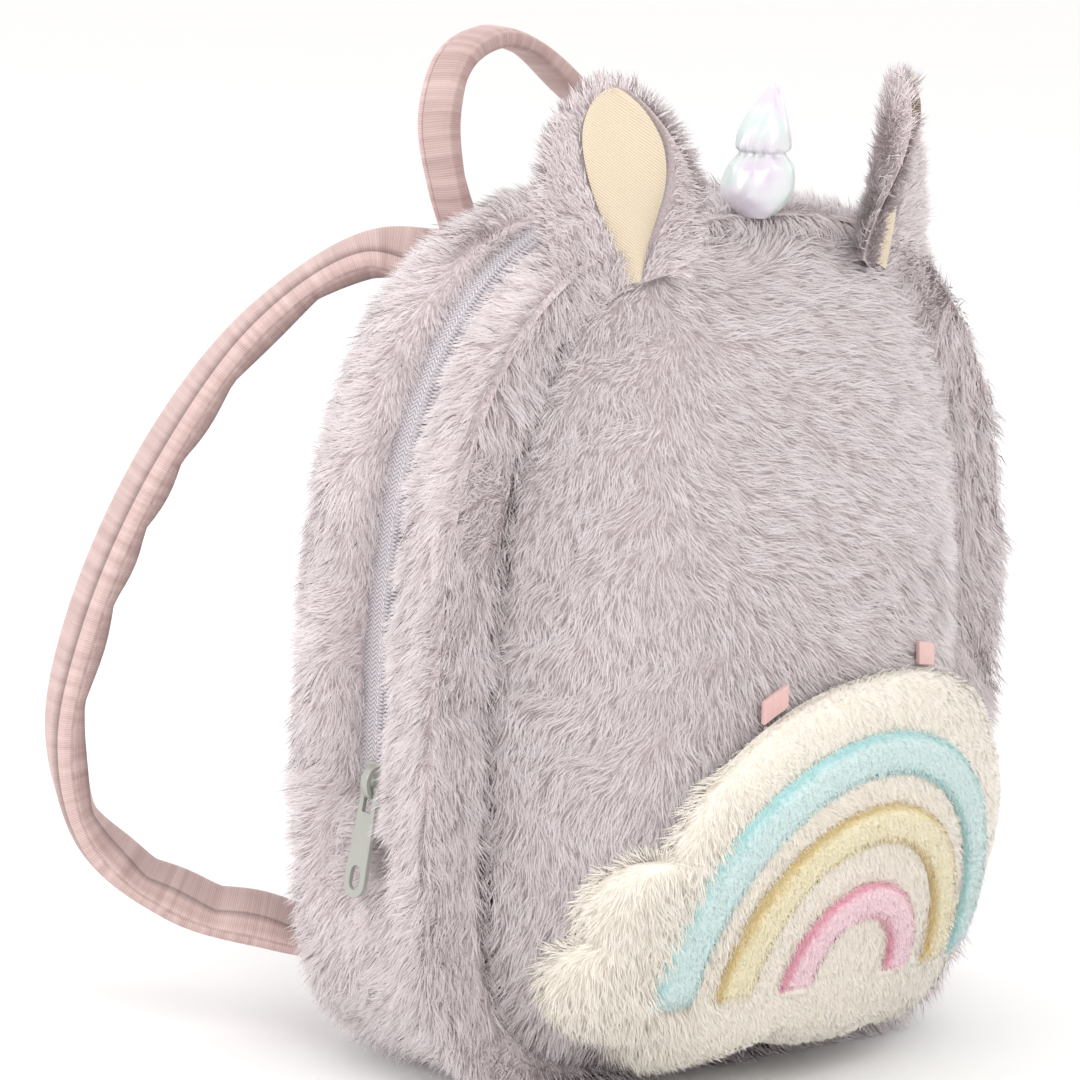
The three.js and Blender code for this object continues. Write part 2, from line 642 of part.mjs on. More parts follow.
// A raised band of the rainbow on the cloud's face
function rainbowBand({ radius, width }) {
  const profile = [
    { across: -1, raise: 0.35 },
    { across: -0.6, raise: 0.9 },
    { across: 0, raise: 1 },
    { across: 0.6, raise: 0.9 },
    { across: 1, raise: 0.35 },
  ];
  const grid = (isFace) => steps(rainbow.segments).map((along) => {
    const angle = mix(rainbow.sweepStart, rainbow.sweepEnd, along) * degrees;
    return profile.map(({ across, raise }) => {
      const reach = radius + across * width / 2;
      const x = rainbow.across * cloud.halfWidth + reach * Math.cos(angle);
      const tall = reach + radius * rainbow.stretch;
      const z = cloud.bottom + rainbow.up * cloud.height + tall * Math.sin(angle);
      const lift = rainbow.gap + (isFace ? raise * rainbow.raise : 0);
      return new THREE.Vector3(x, cloudFace(x, z) - lift, z);
    });
  });
  return wall(grid(true), grid(false));
}

// A short ribbon tab that lies on the front panel just above the cloud's edge
function ribbonTab(middleX) {
  const grid = (lift) => steps(3).map((up) => steps(2).map((across) => {
    const x = middleX + (across - 0.5) * ribbon.width;
    const rimAngle = solveRimAngle(x);
    const z = cloudMiddle.z + cloudReach(rimAngle) * Math.sin(rimAngle) + ribbon.gap + up * ribbon.length;
    return new THREE.Vector3(x, panelDepth(x, z) - lift, z);
  }));
  return wall(grid(ribbon.gap + ribbon.thickness), grid(ribbon.gap));
}

// The angle at which the cloud's upper edge passes over a place across the bag
function solveRimAngle(x) {
  let low = 0;
  let high = Math.PI;
  for (let i = 0; i < 40; i++) {
    const middle = (low + high) / 2;
    if (cloudMiddle.x + cloudReach(middle) * Math.cos(middle) > x) low = middle;
    else high = middle;
  }
  return low;
}

const finishes = {
  plush: { color: 0xd6ccd3, roughness: 0.95, metalness: 0 },
  cream: { color: 0xefe4d6, roughness: 0.9, metalness: 0 },
  velvet: { color: 0xc9a3a0, roughness: 0.8, metalness: 0 },
  satin: { color: 0xe9e2ea, roughness: 0.3, metalness: 0 },
  tape: { color: 0xb9b7bb, roughness: 0.8, metalness: 0 },
  pull: { color: 0xb4b5aa, roughness: 0.4, metalness: 0 },
  blue: { color: 0xa9dbe0, roughness: 0.85, metalness: 0 },
  yellow: { color: 0xf3e2a0, roughness: 0.85, metalness: 0 },
  pink: { color: 0xf0a9b6, roughness: 0.85, metalness: 0 },
};

const backpack = new THREE.Group();

function addPiece(name, geometry, finish) {
  const mesh = new THREE.Mesh(geometry, new THREE.MeshStandardMaterial(finishes[finish]));
  mesh.name = name;
  backpack.add(mesh);
  return mesh;
}

addPiece("front_panel", frontPanel(), "plush");
addPiece("back_panel", backPanel(), "plush");
addPiece("gusset_front", gussetFront(), "plush");
addPiece("gusset_rear", gussetRear(), "plush");
addPiece("gusset_base", gussetBase(), "plush");
addPiece("zip_tape", zipTape(), "tape");
addPiece("zip_coil", zipCoil(), "tape");

const sliderPiece = addPiece("zip_slider", zipSlider(), "pull");
sliderPiece.position.set(tapeX - gap, 0, sliderMiddle);
const pullPiece = addPiece("zip_pull", zipPull(), "pull");
pullPiece.position.set(hingeX, 0, pullTop);
pullPiece.rotation.y = pullTilt();

for (const [word, side] of [["left", -1], ["right", 1]]) {
  addPiece(`ear_${word}`, earShell(side), "plush");
  addPiece(`ear_lining_${word}`, earLining(side), "cream");
  addPiece(`strap_${word}`, shoulderStrap(side), "velvet");
}
addPiece("horn", hornBody(), "satin");
addPiece("carrying_handle", carryingHandle(), "velvet");
addPiece("pocket_cloud", pocketCloud(), "cream");
addPiece("band_blue", rainbowBand(blueBand), "blue");
addPiece("band_yellow", rainbowBand(yellowBand), "yellow");
addPiece("band_pink", rainbowBand(pinkBand), "pink");
addPiece("ribbon_left", ribbonTab(ribbon.leftX), "pink");
addPiece("ribbon_right", ribbonTab(ribbon.rightX), "pink");

export default backpack;
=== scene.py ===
import bmesh
import bpy
import numpy as np
from mathutils import Matrix


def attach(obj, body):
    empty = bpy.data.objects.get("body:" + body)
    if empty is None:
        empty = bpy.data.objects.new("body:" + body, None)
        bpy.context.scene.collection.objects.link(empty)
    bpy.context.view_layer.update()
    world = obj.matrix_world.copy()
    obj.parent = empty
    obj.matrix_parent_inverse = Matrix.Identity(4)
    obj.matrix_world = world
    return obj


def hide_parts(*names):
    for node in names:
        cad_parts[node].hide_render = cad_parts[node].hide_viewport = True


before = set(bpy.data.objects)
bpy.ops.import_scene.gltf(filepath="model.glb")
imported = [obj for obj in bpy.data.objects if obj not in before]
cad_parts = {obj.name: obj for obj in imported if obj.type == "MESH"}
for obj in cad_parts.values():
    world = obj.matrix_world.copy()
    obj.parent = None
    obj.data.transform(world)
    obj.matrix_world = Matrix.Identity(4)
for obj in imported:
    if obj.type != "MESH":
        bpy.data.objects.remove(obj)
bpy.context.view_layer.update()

# The view of a product photograph: a long lens a little over the floor, 40 degrees round from the
# front towards the zip's flank, on a pale floor under wide soft lamps.
turn, rise, roll = np.radians([-40.0, 10.6, 3.0])
aim, distance = np.array([0.0, 0.0, 0.154]), 1.750
backward = np.array([np.sin(turn) * np.cos(rise), -np.cos(turn) * np.cos(rise), np.sin(rise)])
level = np.cross(-backward, [0, 0, 1])
level /= np.linalg.norm(level)
plumb = np.cross(level, -backward)
rightward = np.cos(roll) * level + np.sin(roll) * plumb
upward = -np.sin(roll) * level + np.cos(roll) * plumb
standpoint = aim + backward * distance - rightward * 0.0371 + upward * 0.0065

camera = bpy.data.objects.new("camera", bpy.data.cameras.new("camera"))
camera.data.lens = 187.5
camera.data.sensor_width = 36.0
camera.data.clip_start = 0.05
camera.matrix_world = Matrix([
    [rightward[i], upward[i], backward[i], standpoint[i]] for i in range(3)
] + [[0, 0, 0, 1]])
bpy.context.scene.collection.objects.link(camera)
bpy.context.scene.camera = camera
bpy.context.scene.view_settings.view_transform = "Standard"


def tint(code):
    """A linear colour from its hex code, by the sRGB curve"""
    values = np.array([int(code[i:i + 2], 16) for i in (0, 2, 4)]) / 255
    linear = np.where(values <= 0.04045, values / 12.92, ((values + 0.055) / 1.055) ** 2.4)
    return (*linear.tolist(), 1.0)


floor = bpy.data.objects.new("floor", bpy.data.meshes.new("floor"))
floor.data.from_pydata([(-8, -8, 0), (8, -8, 0), (8, 8, 0), (-8, 8, 0)], [], [(0, 1, 2, 3)])
floor_paint = bpy.data.materials.new("floor_paint")
floor_paint.use_nodes = True
floor_paint.node_tree.nodes["Principled BSDF"].inputs["Base Color"].default_value = (0.86, 0.86, 0.86, 1)
floor_paint.node_tree.nodes["Principled BSDF"].inputs["Roughness"].default_value = 0.9
floor.data.materials.append(floor_paint)
bpy.context.scene.collection.objects.link(floor)

world = bpy.data.worlds.new("studio")
world.use_nodes = True
world.node_tree.nodes["Background"].inputs["Color"].default_value = (1.0, 0.99, 0.985, 1)
world.node_tree.nodes["Background"].inputs["Strength"].default_value = 1.13
bpy.context.scene.world = world


def lamp(name, place, size, power):
    """A square soft lamp that faces the bag's middle"""
    light = bpy.data.lights.new(name, "AREA")
    light.size, light.energy = size, power
    holder = bpy.data.objects.new(name, light)
    back = np.array(place) - aim
    back = back / np.linalg.norm(back)
    side = np.cross([0, 0, 1], back)
    side = side / np.linalg.norm(side)
    top = np.cross(back, side)
    holder.matrix_world = Matrix([[side[i], top[i], back[i], place[i]] for i in range(3)] + [[0, 0, 0, 1]])
    bpy.context.scene.collection.objects.link(holder)


lamp("key_lamp", (-0.55, -1.3, 1.35), 0.9, 10)
lamp("rim_lamp", (-1.5, 0.5, 1.0), 0.9, 12)
lamp("far_lamp", (1.3, -0.4, 1.0), 0.9, 3)

# The front panel is a domed piece of long faux fur, cut like a tombstone and sewn into the front
# seam. Its backing lies under 5 mm of pile, pale at the tips and mauve at the roots.
fur_depth = 5.2
widest_height = 120.0
front_seam = np.array([91.0, 262.0, 7.0])
belly = np.array([118.0, 271.0, -4.0])
front_seam_y, seam_gap = -34.0, 0.3


def unit(vectors):
    """Vectors over their own lengths"""
    return vectors / np.maximum(np.linalg.norm(vectors, axis=-1, keepdims=True), 1e-9)


def smooth(share):
    """The smooth step 3t^2 - 2t^3 of a share held to 0..1"""
    share = np.clip(share, 0, 1)
    return share * share * (3 - 2 * share)


def outline_reach(outline, angle):
    """Distance from (0, widest_height) to a superellipse given by half width, top and bottom, of power 2.7
    above and 4.5 below"""
    half_width, top, bottom = np.moveaxis(np.asarray(outline, float), -1, 0)
    c, s = np.cos(angle), np.sin(angle)
    power = np.where(s >= 0, 2.7, 4.5)
    half_height = np.where(s >= 0, top - widest_height, widest_height - bottom)
    return (np.abs(c / half_width) ** power + np.abs(s / half_height) ** power) ** (-1 / power)


def outline_point(outline, angle, y, share=1.0, lift=0.0):
    """The place at an angle on such an outline, moved out by lift and in by share, held above the floor"""
    reach = (outline_reach(outline, angle) + lift) * share
    y = np.broadcast_to(y, reach.shape)
    return np.stack([reach * np.cos(angle), y, np.maximum(widest_height + reach * np.sin(angle), 0)], -1)


dome_depth, back_depth = 46, 6


def front_surface(u, v):
    """The dome: out from the middle by u = 0..1 and once round by v, dome_depth deep at the middle, and
    falling as u to a power between 2.2 at the top and 4.6 at the foot"""
    angle = 2 * np.pi * v
    fullness = 2.2 + 2.4 * (1 - np.sin(angle)) / 2
    return outline_point(front_seam, angle, front_seam_y - seam_gap - dome_depth * (1 - u ** fullness), u)


def normals_of(surface, u, v, step=1e-3):
    """Unit normals by central differences in u and v"""
    along_u = surface(np.clip(u + step, 0, 1), v) - surface(np.clip(u - step, 0, 1), v)
    along_v = surface(u, v + step) - surface(u, v - step)
    return unit(np.cross(along_u, along_v))


def waves(points, reach, seed):
    """Smooth noise on three axes: eight sine waves of random direction, about reach mm long, added up"""
    rng = np.random.default_rng(seed)
    direction = unit(rng.normal(size=(8, 3))) * 2 * np.pi / (reach * rng.uniform(0.7, 1.6, (8, 1)))
    return np.sin(points @ direction.T + rng.uniform(0, 2 * np.pi, 8)) @ (rng.normal(size=(8, 3)) / 2.8)


def tufts(points, size, seed):
    """The way from each point to the middle of its tuft, and three random shares of that tuft. A tuft's
    middle is the nearest of one random point in each of the 27 cubes of side size round the point."""
    cells = np.floor(points / size).astype(np.int64)
    nearest = np.full(len(points), np.inf)
    way = np.zeros((len(points), 3))
    luck = np.zeros((len(points), 3))
    for shift in np.ndindex(3, 3, 3):
        cube = cells + np.array(shift) - 1
        key = (cube * np.array([73856093, 19349663, 83492791])).sum(1) + seed * 7919
        random = np.stack([np.modf(np.abs(np.sin(key % 104729 * (0.731 + 0.117 * k)) * 43758.5453))[0]
                           for k in range(6)], -1)
        offset = (cube + random[:, :3]) * size - points
        length = np.linalg.norm(offset, axis=1)
        closer = length < nearest
        nearest[closer] = length[closer]
        way[closer] = offset[closer]
        luck[closer] = random[closer, 3:]
    return way, luck


def scatter(surface, count, seed, facing, cells=(220, 220)):
    """Places spread evenly over a surface: cells of a fine grid drawn in step with their areas. facing is
    +1 or -1 and turns the normals out."""
    rng = np.random.default_rng(seed)
    u, v = np.meshgrid(np.linspace(0, 1, cells[0] + 1), np.linspace(0, 1, cells[1] + 1), indexing="ij")
    grid = surface(u, v)
    down_edge, across_edge = grid[1:, :-1] - grid[:-1, :-1], grid[:-1, 1:] - grid[:-1, :-1]
    area = np.linalg.norm(np.cross(down_edge, across_edge), axis=-1).ravel()
    total = np.cumsum(area)
    picked = np.searchsorted(total, (np.arange(count) + rng.random(count)) / count * total[-1])
    row, column = np.divmod(np.minimum(picked, area.size - 1), cells[1])
    u = (row + rng.random(count)) / cells[0]
    v = (column + rng.random(count)) / cells[1]
    return surface(u, v), facing * normals_of(surface, u, v)


def pile(points, normals, flow, seed, length=8.8, lean=1.0, tuft=7.0, gather=0.2, width=0.3, scale=1.0,
         dim=0.0, strays=0.03):
    """Fur as bent blades of two triangles each. A hair leaves its root along cos(lean) normal + sin(lean)
    flow, bends over towards its tip, and is drawn to the middle of its tuft and of a smaller tuft in it. The
    tone is 0.05 at the root and about 0.85 at the tip, shifted at random, painted darker towards a tuft's
    edge as painted shade in the gaps between tufts, and less dim, a darkening given by the caller. The
    normals are near those of the cloth."""
    rng = np.random.default_rng(seed)
    count = len(points)
    flow = unit(flow - (flow * normals).sum(1, keepdims=True) * normals)
    sideways = np.cross(normals, flow)
    scale = np.broadcast_to(scale, (count,))[:, None]
    way, luck = tufts(points + 2.5 * waves(points, 16, seed + 3), tuft, seed)
    small_way, small_luck = tufts(points, tuft / 2.6, seed + 1)
    swing = 0.7 * (luck[:, :1] - 0.5) + 0.6 * (small_luck[:, :1] - 0.5) + 0.22 * rng.normal(size=(count, 1))
    heading = unit(flow + sideways * swing)
    size = scale * length * (0.7 + 0.25 * luck[:, 1:2] + 0.35 * rng.random((count, 1)))
    angle = lean + 0.4 * (luck[:, 2:3] - 0.5) + 0.16 * rng.normal(size=(count, 1))
    stray = rng.random((count, 1)) < strays
    angle = np.where(stray, angle * 0.55, angle)
    low = np.clip(angle - 0.35, 0, 1.5)
    high = np.clip(angle + 0.15, 0.05, 1.5)
    middle = points + 0.48 * size * (np.cos(low) * normals + np.sin(low) * heading)
    tip = middle + 0.52 * size * (np.cos(high) * normals + np.sin(high) * heading)
    for offset, share in ((way, gather), (small_way, 0.25)):
        offset = offset - (offset * normals).sum(1, keepdims=True) * normals
        pull = np.where(stray, 0.1, share) * scale * offset
        tip = tip + pull
        middle = middle + 0.35 * pull
    for row in (middle, tip):
        row[:, 2] = np.maximum(row[:, 2], 0.4 + 0.6 * rng.random(count))
    across = unit(np.cross(tip - points, normals + 0.3 * rng.normal(size=(count, 3))))
    half = 0.5 * width * (0.7 + 0.6 * rng.random((count, 1)))
    corners = np.stack([points, middle - across * half, middle + across * half, tip], 1)
    first = 4 * np.arange(count)[:, None]
    edge = np.linalg.norm(way, axis=1) / tuft
    # Hairs far from the middle of their tuft are painted darker, painted shade in the gaps between tufts; the
    # rest of this shift is random tone, and dim is taken off.
    random_tone_and_shade = 0.16 * (luck[:, 0] - 0.5) + 0.26 * (rng.random(count) - 0.5) - 0.16 * smooth((edge - 0.3) / 0.6)
    random_tone_and_shade = random_tone_and_shade - dim
    tone = np.stack([0.05 + 0 * random_tone_and_shade, 0.55 + 0.7 * random_tone_and_shade, 0.55 + 0.7 * random_tone_and_shade, 0.85 + random_tone_and_shade], 1)
    columns = int(np.ceil(np.sqrt(count)))
    cell = np.stack(np.divmod(np.arange(count), columns), 1)[:, None, ::-1]
    spot = np.array([[0.5, 0.1], [0.1, 0.5], [0.9, 0.5], [0.5, 0.9]])
    soft = unit(normals + 0.12 * rng.normal(size=(count, 3)) + 0.1 * heading)
    return {
        "points": corners.reshape(-1, 3),
        "faces": (first + [0, 2, 1]).tolist() + (first + [1, 2, 3]).tolist(),
        "tone": tone.ravel(),
        "bake": ((cell + spot) / columns).reshape(-1, 2),
        "normals": np.repeat(soft, 4, 0),
    }


def sheet_grid(surface, rows, columns, facing, tone=0.0):
    """A surface as a grid of quads, its faces turned out by facing"""
    u, v = np.meshgrid(np.linspace(0, 1, rows), np.linspace(0, 1, columns), indexing="ij")
    index = np.arange(rows * columns).reshape(rows, columns)
    quads = np.stack([index[:-1, :-1], index[1:, :-1], index[1:, 1:], index[:-1, 1:]], -1).reshape(-1, 4)
    return {
        "points": surface(u, v).reshape(-1, 3),
        "faces": (quads if facing > 0 else quads[:, ::-1]).tolist(),
        "tone": np.broadcast_to(tone, rows * columns).copy(),
        "bake": np.stack([u, v], -1).reshape(-1, 2),
        "normals": (facing * normals_of(surface, u, v)).reshape(-1, 3),
    }


def plush_piece(name, backing, hairs, material, node):
    """The cloth of a plush piece and its pile as two objects, from points in mm, faces, tones, bake places
    and normals. The pile casts no shadow, as light passes through real fur. Both stand for the CAD node."""
    pieces = []
    for word, part in (("backing", backing), ("fur", hairs)):
        mesh = bpy.data.meshes.new(f"{name}_{word}")
        mesh.from_pydata((part["points"] / 1000).tolist(), [], part["faces"])
        tone = mesh.attributes.new("tone", "FLOAT", "POINT")
        tone.data.foreach_set("value", part["tone"].astype(np.float32))
        corner_points = np.zeros(len(mesh.loops), np.int32)
        mesh.loops.foreach_get("vertex_index", corner_points)
        bake = part["bake"][corner_points].astype(np.float32)
        mesh.uv_layers.new(name="OFBake").data.foreach_set("uv", bake.ravel())
        mesh.shade_smooth()
        mesh.normals_split_custom_set_from_vertices(part["normals"].tolist())
        mesh.materials.append(material)
        piece = bpy.data.objects.new(f"{name}_{word}", mesh)
        bpy.context.scene.collection.objects.link(piece)
        piece.visible_shadow = word == "backing"
        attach(piece, "bag")
        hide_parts(node)
        pieces.append(piece)
    return pieces


def toned_fur(name, stops, keeps_normals=True):
    """A fur whose colour runs through stops of (tone, hex code) from root to tip, with a soft sheen. With
    keeps_normals a blade seen from behind keeps the normal of its front, as light passes through it."""
    material = bpy.data.materials.new(name)
    material.use_nodes = True
    nodes, links = material.node_tree.nodes, material.node_tree.links
    shader = nodes["Principled BSDF"]
    tone = nodes.new("ShaderNodeAttribute")
    tone.attribute_name = "tone"
    ramp = nodes.new("ShaderNodeValToRGB")
    while len(ramp.color_ramp.elements) < len(stops):
        ramp.color_ramp.elements.new(0.5)
    for element, (position, code) in zip(ramp.color_ramp.elements, stops):
        element.position = position
        element.color = tint(code)
    fine = nodes.new("ShaderNodeTexNoise")
    fine.inputs["Scale"].default_value = 1300
    fine.inputs["Detail"].default_value = 1
    place = nodes.new("ShaderNodeTexCoord")
    uneven = nodes.new("ShaderNodeMath")
    uneven.operation = "MULTIPLY_ADD"
    uneven.inputs[1].default_value = 0.5
    lowered = nodes.new("ShaderNodeMath")
    lowered.operation = "SUBTRACT"
    lowered.inputs[1].default_value = 0.25
    links.new(place.outputs["Object"], fine.inputs["Vector"])
    links.new(fine.outputs["Fac"], uneven.inputs[0])
    links.new(tone.outputs["Fac"], uneven.inputs[2])
    links.new(uneven.outputs["Value"], lowered.inputs[0])
    links.new(lowered.outputs["Value"], ramp.inputs["Fac"])
    links.new(ramp.outputs["Color"], shader.inputs["Base Color"])
    if keeps_normals:
        geometry = nodes.new("ShaderNodeNewGeometry")
        turned_back = nodes.new("ShaderNodeMath")
        turned_back.operation = "MULTIPLY_ADD"
        turned_back.inputs[1].default_value, turned_back.inputs[2].default_value = -2.0, 1.0
        both_faces = nodes.new("ShaderNodeVectorMath")
        both_faces.operation = "SCALE"
        links.new(geometry.outputs["Backfacing"], turned_back.inputs[0])
        links.new(geometry.outputs["Normal"], both_faces.inputs[0])
        links.new(turned_back.outputs["Value"], both_faces.inputs["Scale"])
        links.new(both_faces.outputs["Vector"], shader.inputs["Normal"])
    shader.inputs["Roughness"].default_value = 0.75
    shader.inputs["Specular IOR Level"].default_value = 0.25
    shader.inputs["Sheen Weight"].default_value = 0.25
    shader.inputs["Sheen Roughness"].default_value = 0.5
    return material


lilac_tones = [(0.0, "9F8A8B"), (0.35, "CBBEBF"), (0.65, "DAD0D1"), (1.0, "EAE1E4")]
lilac_front_fur = toned_fur("lilac_front_fur", lilac_tones)
lilac_fur = toned_fur("lilac_fur", lilac_tones, keeps_normals=False)


def inset(surface, depth, facing):
    """The same surface moved in along its normals by a depth, or by a function of u and v that gives it"""
    def moved(u, v):
        sunk = depth(u, v)[..., None] if callable(depth) else depth
        return surface(u, v) - sunk * facing * normals_of(surface, u, v)
    return moved


def front_flow(points):
    """The pile is combed out from a parting left of the middle and down, more sideways towards the top, and
    up round the horn's foot"""
    at_horn = np.exp(-((points[:, 0] / 15) ** 2 + ((points[:, 2] - 258) / 8) ** 2))
    sideways = np.tanh((points[:, 0] + 48) / 32) * (0.25 + 1.5 * smooth((points[:, 2] - 90) / 150))
    combed = np.stack([sideways * (1 - at_horn), 0 * sideways, -0.9 + 3 * at_horn], -1)
    return combed + 0.35 * waves(points, 60, 5) + 0.3 * waves(points, 14, 6)


def seam_valley_shade(points):
    """How much darker the pile is painted in the front seam's valley, as painted shade: a bell of its way off
    the seam
    """
    off = np.hypot(points[:, 0], points[:, 2] - widest_height) - outline_reach(
        front_seam, np.arctan2(points[:, 2] - widest_height, points[:, 0]))
    return 0.3 * np.exp(-(off / 2.2) ** 2 - ((points[:, 1] + 34) / 3.5) ** 2)


front_backing = inset(front_surface, lambda u, v: fur_depth * (1 - 0.45 * smooth((u - 0.9) / 0.1)), 1)
places, facings = scatter(front_backing, 70000, 11, 1)
uncovered = ~((np.hypot((places[:, 0] - 23) / 70, (places[:, 2] - 66) / 50) < 1) & (places[:, 1] < -45))
places, facings = places[uncovered], facings[uncovered]
# The pile is painted darker in the front seam's valley: painted shade.
plush_piece("front_panel", sheet_grid(front_backing, 40, 120, 1, 0.3),
            pile(places, facings, front_flow(places), 21, dim=seam_valley_shade(places)),
            lilac_front_fur, "front_panel")

# The side of the bag is a wide strip of the same fur between the front and the back seam. The zip
# splits it over the top from flank to flank, and below the zip's ends it runs whole round the base.
rear_seam, rear_seam_y = np.array([98.0, 264.0, 6.0]), 44.0
zip_line = np.array([105.0, 266.5, 1.0])
slit_front, slit_end, slit_fade, slit_hollow, slit_reach = -6.7, 88.0, 40.0, 0.93, 14
slit_angle = np.arctan2(slit_end - widest_height, zip_line[0])


def through(rows, shares):
    """Points at shares of the way along a centripetal Catmull-Rom curve through the rows"""
    rows = np.asarray(rows, float)
    padded = np.concatenate([[2 * rows[0] - rows[1]], rows, [2 * rows[-1] - rows[-2]]])
    place = np.clip(shares, 0, 1) * (len(rows) - 1)
    first = np.minimum(place.astype(int), len(rows) - 2)
    t = (place - first)[..., None]
    p0, p1, p2, p3 = (padded[first + k] for k in range(4))
    gaps = [np.maximum(np.linalg.norm(b - a, axis=-1, keepdims=True) ** 0.5, 1e-4)
            for a, b in ((p0, p1), (p1, p2), (p2, p3))]
    m1 = ((p1 - p0) / gaps[0] - (p2 - p0) / (gaps[0] + gaps[1]) + (p2 - p1) / gaps[1]) * gaps[1]
    m2 = ((p2 - p1) / gaps[1] - (p3 - p1) / (gaps[1] + gaps[2]) + (p3 - p2) / gaps[2]) * gaps[1]
    return p1 + m1 * t + (3 * (p2 - p1) - 2 * m1 - m2) * t ** 2 + (2 * (p1 - p2) + m1 + m2) * t ** 3


# Sections from seam to slit: depth along y and swell, the share of the way from the seam out to the belly
front_section = [(-34, 0), (-37.5, 0.35), (-37, 0.8), (-30.2, 1), (-19, 1), (-11, 0.82), (slit_front, 0.55)]
rear_section = [(44, 0), (40.9, 0.5), (34.6, 0.85), (23.7, 1), (16, 0.84), (10.4, 0.4)]


def strip_surface(section, seam, angles, hollow=False):
    """A side strip: across its section by u and along the outline by v between two angles. With hollow it is
    drawn in to the zip line on the left below the slit, where the pull lies."""
    def surface(u, v):
        depth, swell = np.moveaxis(through(section, u), -1, 0)
        angle = angles[0] + (angles[1] - angles[0]) * v
        outline = seam + (belly - seam) * swell[..., None]
        if hollow:
            height = outline_point(zip_line, angle, 0.0)[..., 2]
            on_left = (angle > np.pi - slit_angle - 0.1) & (angle < 1.5 * np.pi)
            fade = smooth((height - slit_fade) / (slit_end - slit_fade))
            share = slit_hollow * fade * np.exp(-(depth / slit_reach) ** 4) * on_left
            outline = outline + (zip_line - outline) * share[..., None]
        return outline_point(outline, angle, depth)
    return surface


def side_flow(points):
    """The pile is combed down and back"""
    down = np.stack([0 * points[:, 0], 0.55 + 0 * points[:, 0], -1 + 0 * points[:, 0]], -1)
    return down + 0.4 * waves(points, 50, 8) + 0.3 * waves(points, 14, 7)


def thinned(depth):
    """The share of the full pile at a depth y on a strip beside the slit, where it is worn and combed thin"""
    return 1 - 0.75 * smooth((depth + 17) / 9) * (depth < 0) - 0.45 * smooth((20 - depth) / 9) * (depth > 0)


top_angles = (slit_angle, np.pi - slit_angle)
base_angles = (np.pi - slit_angle - 0.03, 2 * np.pi + slit_angle + 0.03)
base_section = front_section[:5] + [(0, 1)] + rear_section[3::-1]
for name, section, seam, angles, is_whole, facing, count, seed in (
    ("gusset_front", front_section, front_seam, top_angles, False, 1, 54000, 31),
    ("gusset_rear", rear_section, rear_seam, top_angles, False, -1, 44000, 41),
    ("gusset_base", base_section, front_seam, base_angles, True, 1, 56000, 51),
):
    outer = strip_surface(section, seam, angles, is_whole)

    def sunk(u, v, outer=outer, is_whole=is_whole):
        """Depth of the backing, which comes up at its seams and beside the slit"""
        at_seam = 1 - smooth(u / 0.12) + (1 - smooth((1 - u) / 0.12)) * is_whole
        return fur_depth * (1 - 0.4 * at_seam) * (1 if is_whole else thinned(outer(u, v)[..., 1]))
    backing = inset(outer, sunk, facing)
    places, facings = scatter(backing, count, seed, facing)
    scale = np.ones(len(places)) if is_whole else thinned(places[:, 1])
    kept = (facings[:, 2] > -0.7) | (np.arange(len(places)) % 3 == 0)
    places, facings, scale = places[kept], facings[kept], scale[kept]
    # The pile is painted darker along the front seam's valley: painted shade.
    plush_piece(name, sheet_grid(backing, 30, 120, facing, 0.3),
                pile(places, facings, side_flow(places), seed + 5, scale=scale, dim=seam_valley_shade(places)),
                lilac_fur, name)


def back_surface(u, v):
    """The nearly flat back: out from the middle by u, once round by v, back_depth proud of its seam at the
    middle"""
    return outline_point(rear_seam, 2 * np.pi * v, rear_seam_y + seam_gap + back_depth * (1 - u ** 3), u)


back_backing = inset(back_surface, 4.5, -1)
places, facings = scatter(back_backing, 16000, 61, -1)
plush_piece("back_panel", sheet_grid(back_backing, 30, 120, -1, 0.3),
            pile(places, facings, side_flow(places), 65, length=8.0, width=0.8),
            lilac_fur, "back_panel")

# Each ear is a furry leaf sewn into the front seam, cupped to the front, with a smooth cream twill
# lining set in its cup.
ear_place, ear_half_width, ear_height, ear_cup, ear_sink = 50.05, 24.5, 64.0, 8.0, 6.0
ear_outline = [(0.72, 0), (0.9, 0.25), (1, 0.5), (0.88, 0.72), (0.6, 0.88), (0.3, 0.97), (0.12, 1)]


def seam_height(x):
    """Height of the front seam's upper edge, a superellipse of power 2.7"""
    share = np.minimum(np.abs(x) / front_seam[0], 0.98)
    return widest_height + (front_seam[1] - widest_height) * (1 - share ** 2.7) ** (1 / 2.7)


def ear_ways(side, up):
    """An ear's ways to the front and across at a share of its height: it is turned out 22 degrees at the seam
    and 52 at the tip"""
    turned = np.radians(22 + 30 * smooth(up))
    flat = 0 * turned
    return (np.stack([side * np.sin(turned), -np.cos(turned), flat], -1),
            np.stack([np.cos(turned), side * np.sin(turned), flat], -1))


def ear_point(side, across, share, depth):
    """A place on an ear: across -1..1 of its width, share of the way up its outline, and depth to the front.
    The leaf leans 7 degrees out and cups forward by ear_cup across^2."""
    splayed = np.radians(7)
    rising = np.array([side * np.sin(splayed), 0, np.cos(splayed)])
    root = np.array([side * ear_place, front_seam_y, seam_height(ear_place) - ear_sink])
    wide, up = np.moveaxis(through(ear_outline, share), -1, 0)
    facing, sideways = ear_ways(side, up)
    forward = ear_cup * across ** 2 * wide + depth
    point = (root + sideways * (across * wide * ear_half_width)[..., None]
             + rising * (up * ear_height)[..., None] + facing * forward[..., None])
    point[..., 2] += (seam_height(point[..., 0]) - seam_height(ear_place)) * (1 - up) ** 2
    return point


def ear_surface(side):
    """The closed leaf: up it by u and round its section by v. At the foot it is 3.2 mm thick and 0.9 of the
    ear's width, and it is thinner and narrower towards the tip."""
    def surface(u, v):
        angle = 2 * np.pi * v
        narrow = 0.9 - 0.25 * u ** 4
        depth = 1.6 * np.sin(angle) * (1 - 0.7 * u ** 6)
        return ear_point(side, narrow * np.cos(angle), 0.02 + 0.92 * u, depth)
    return surface


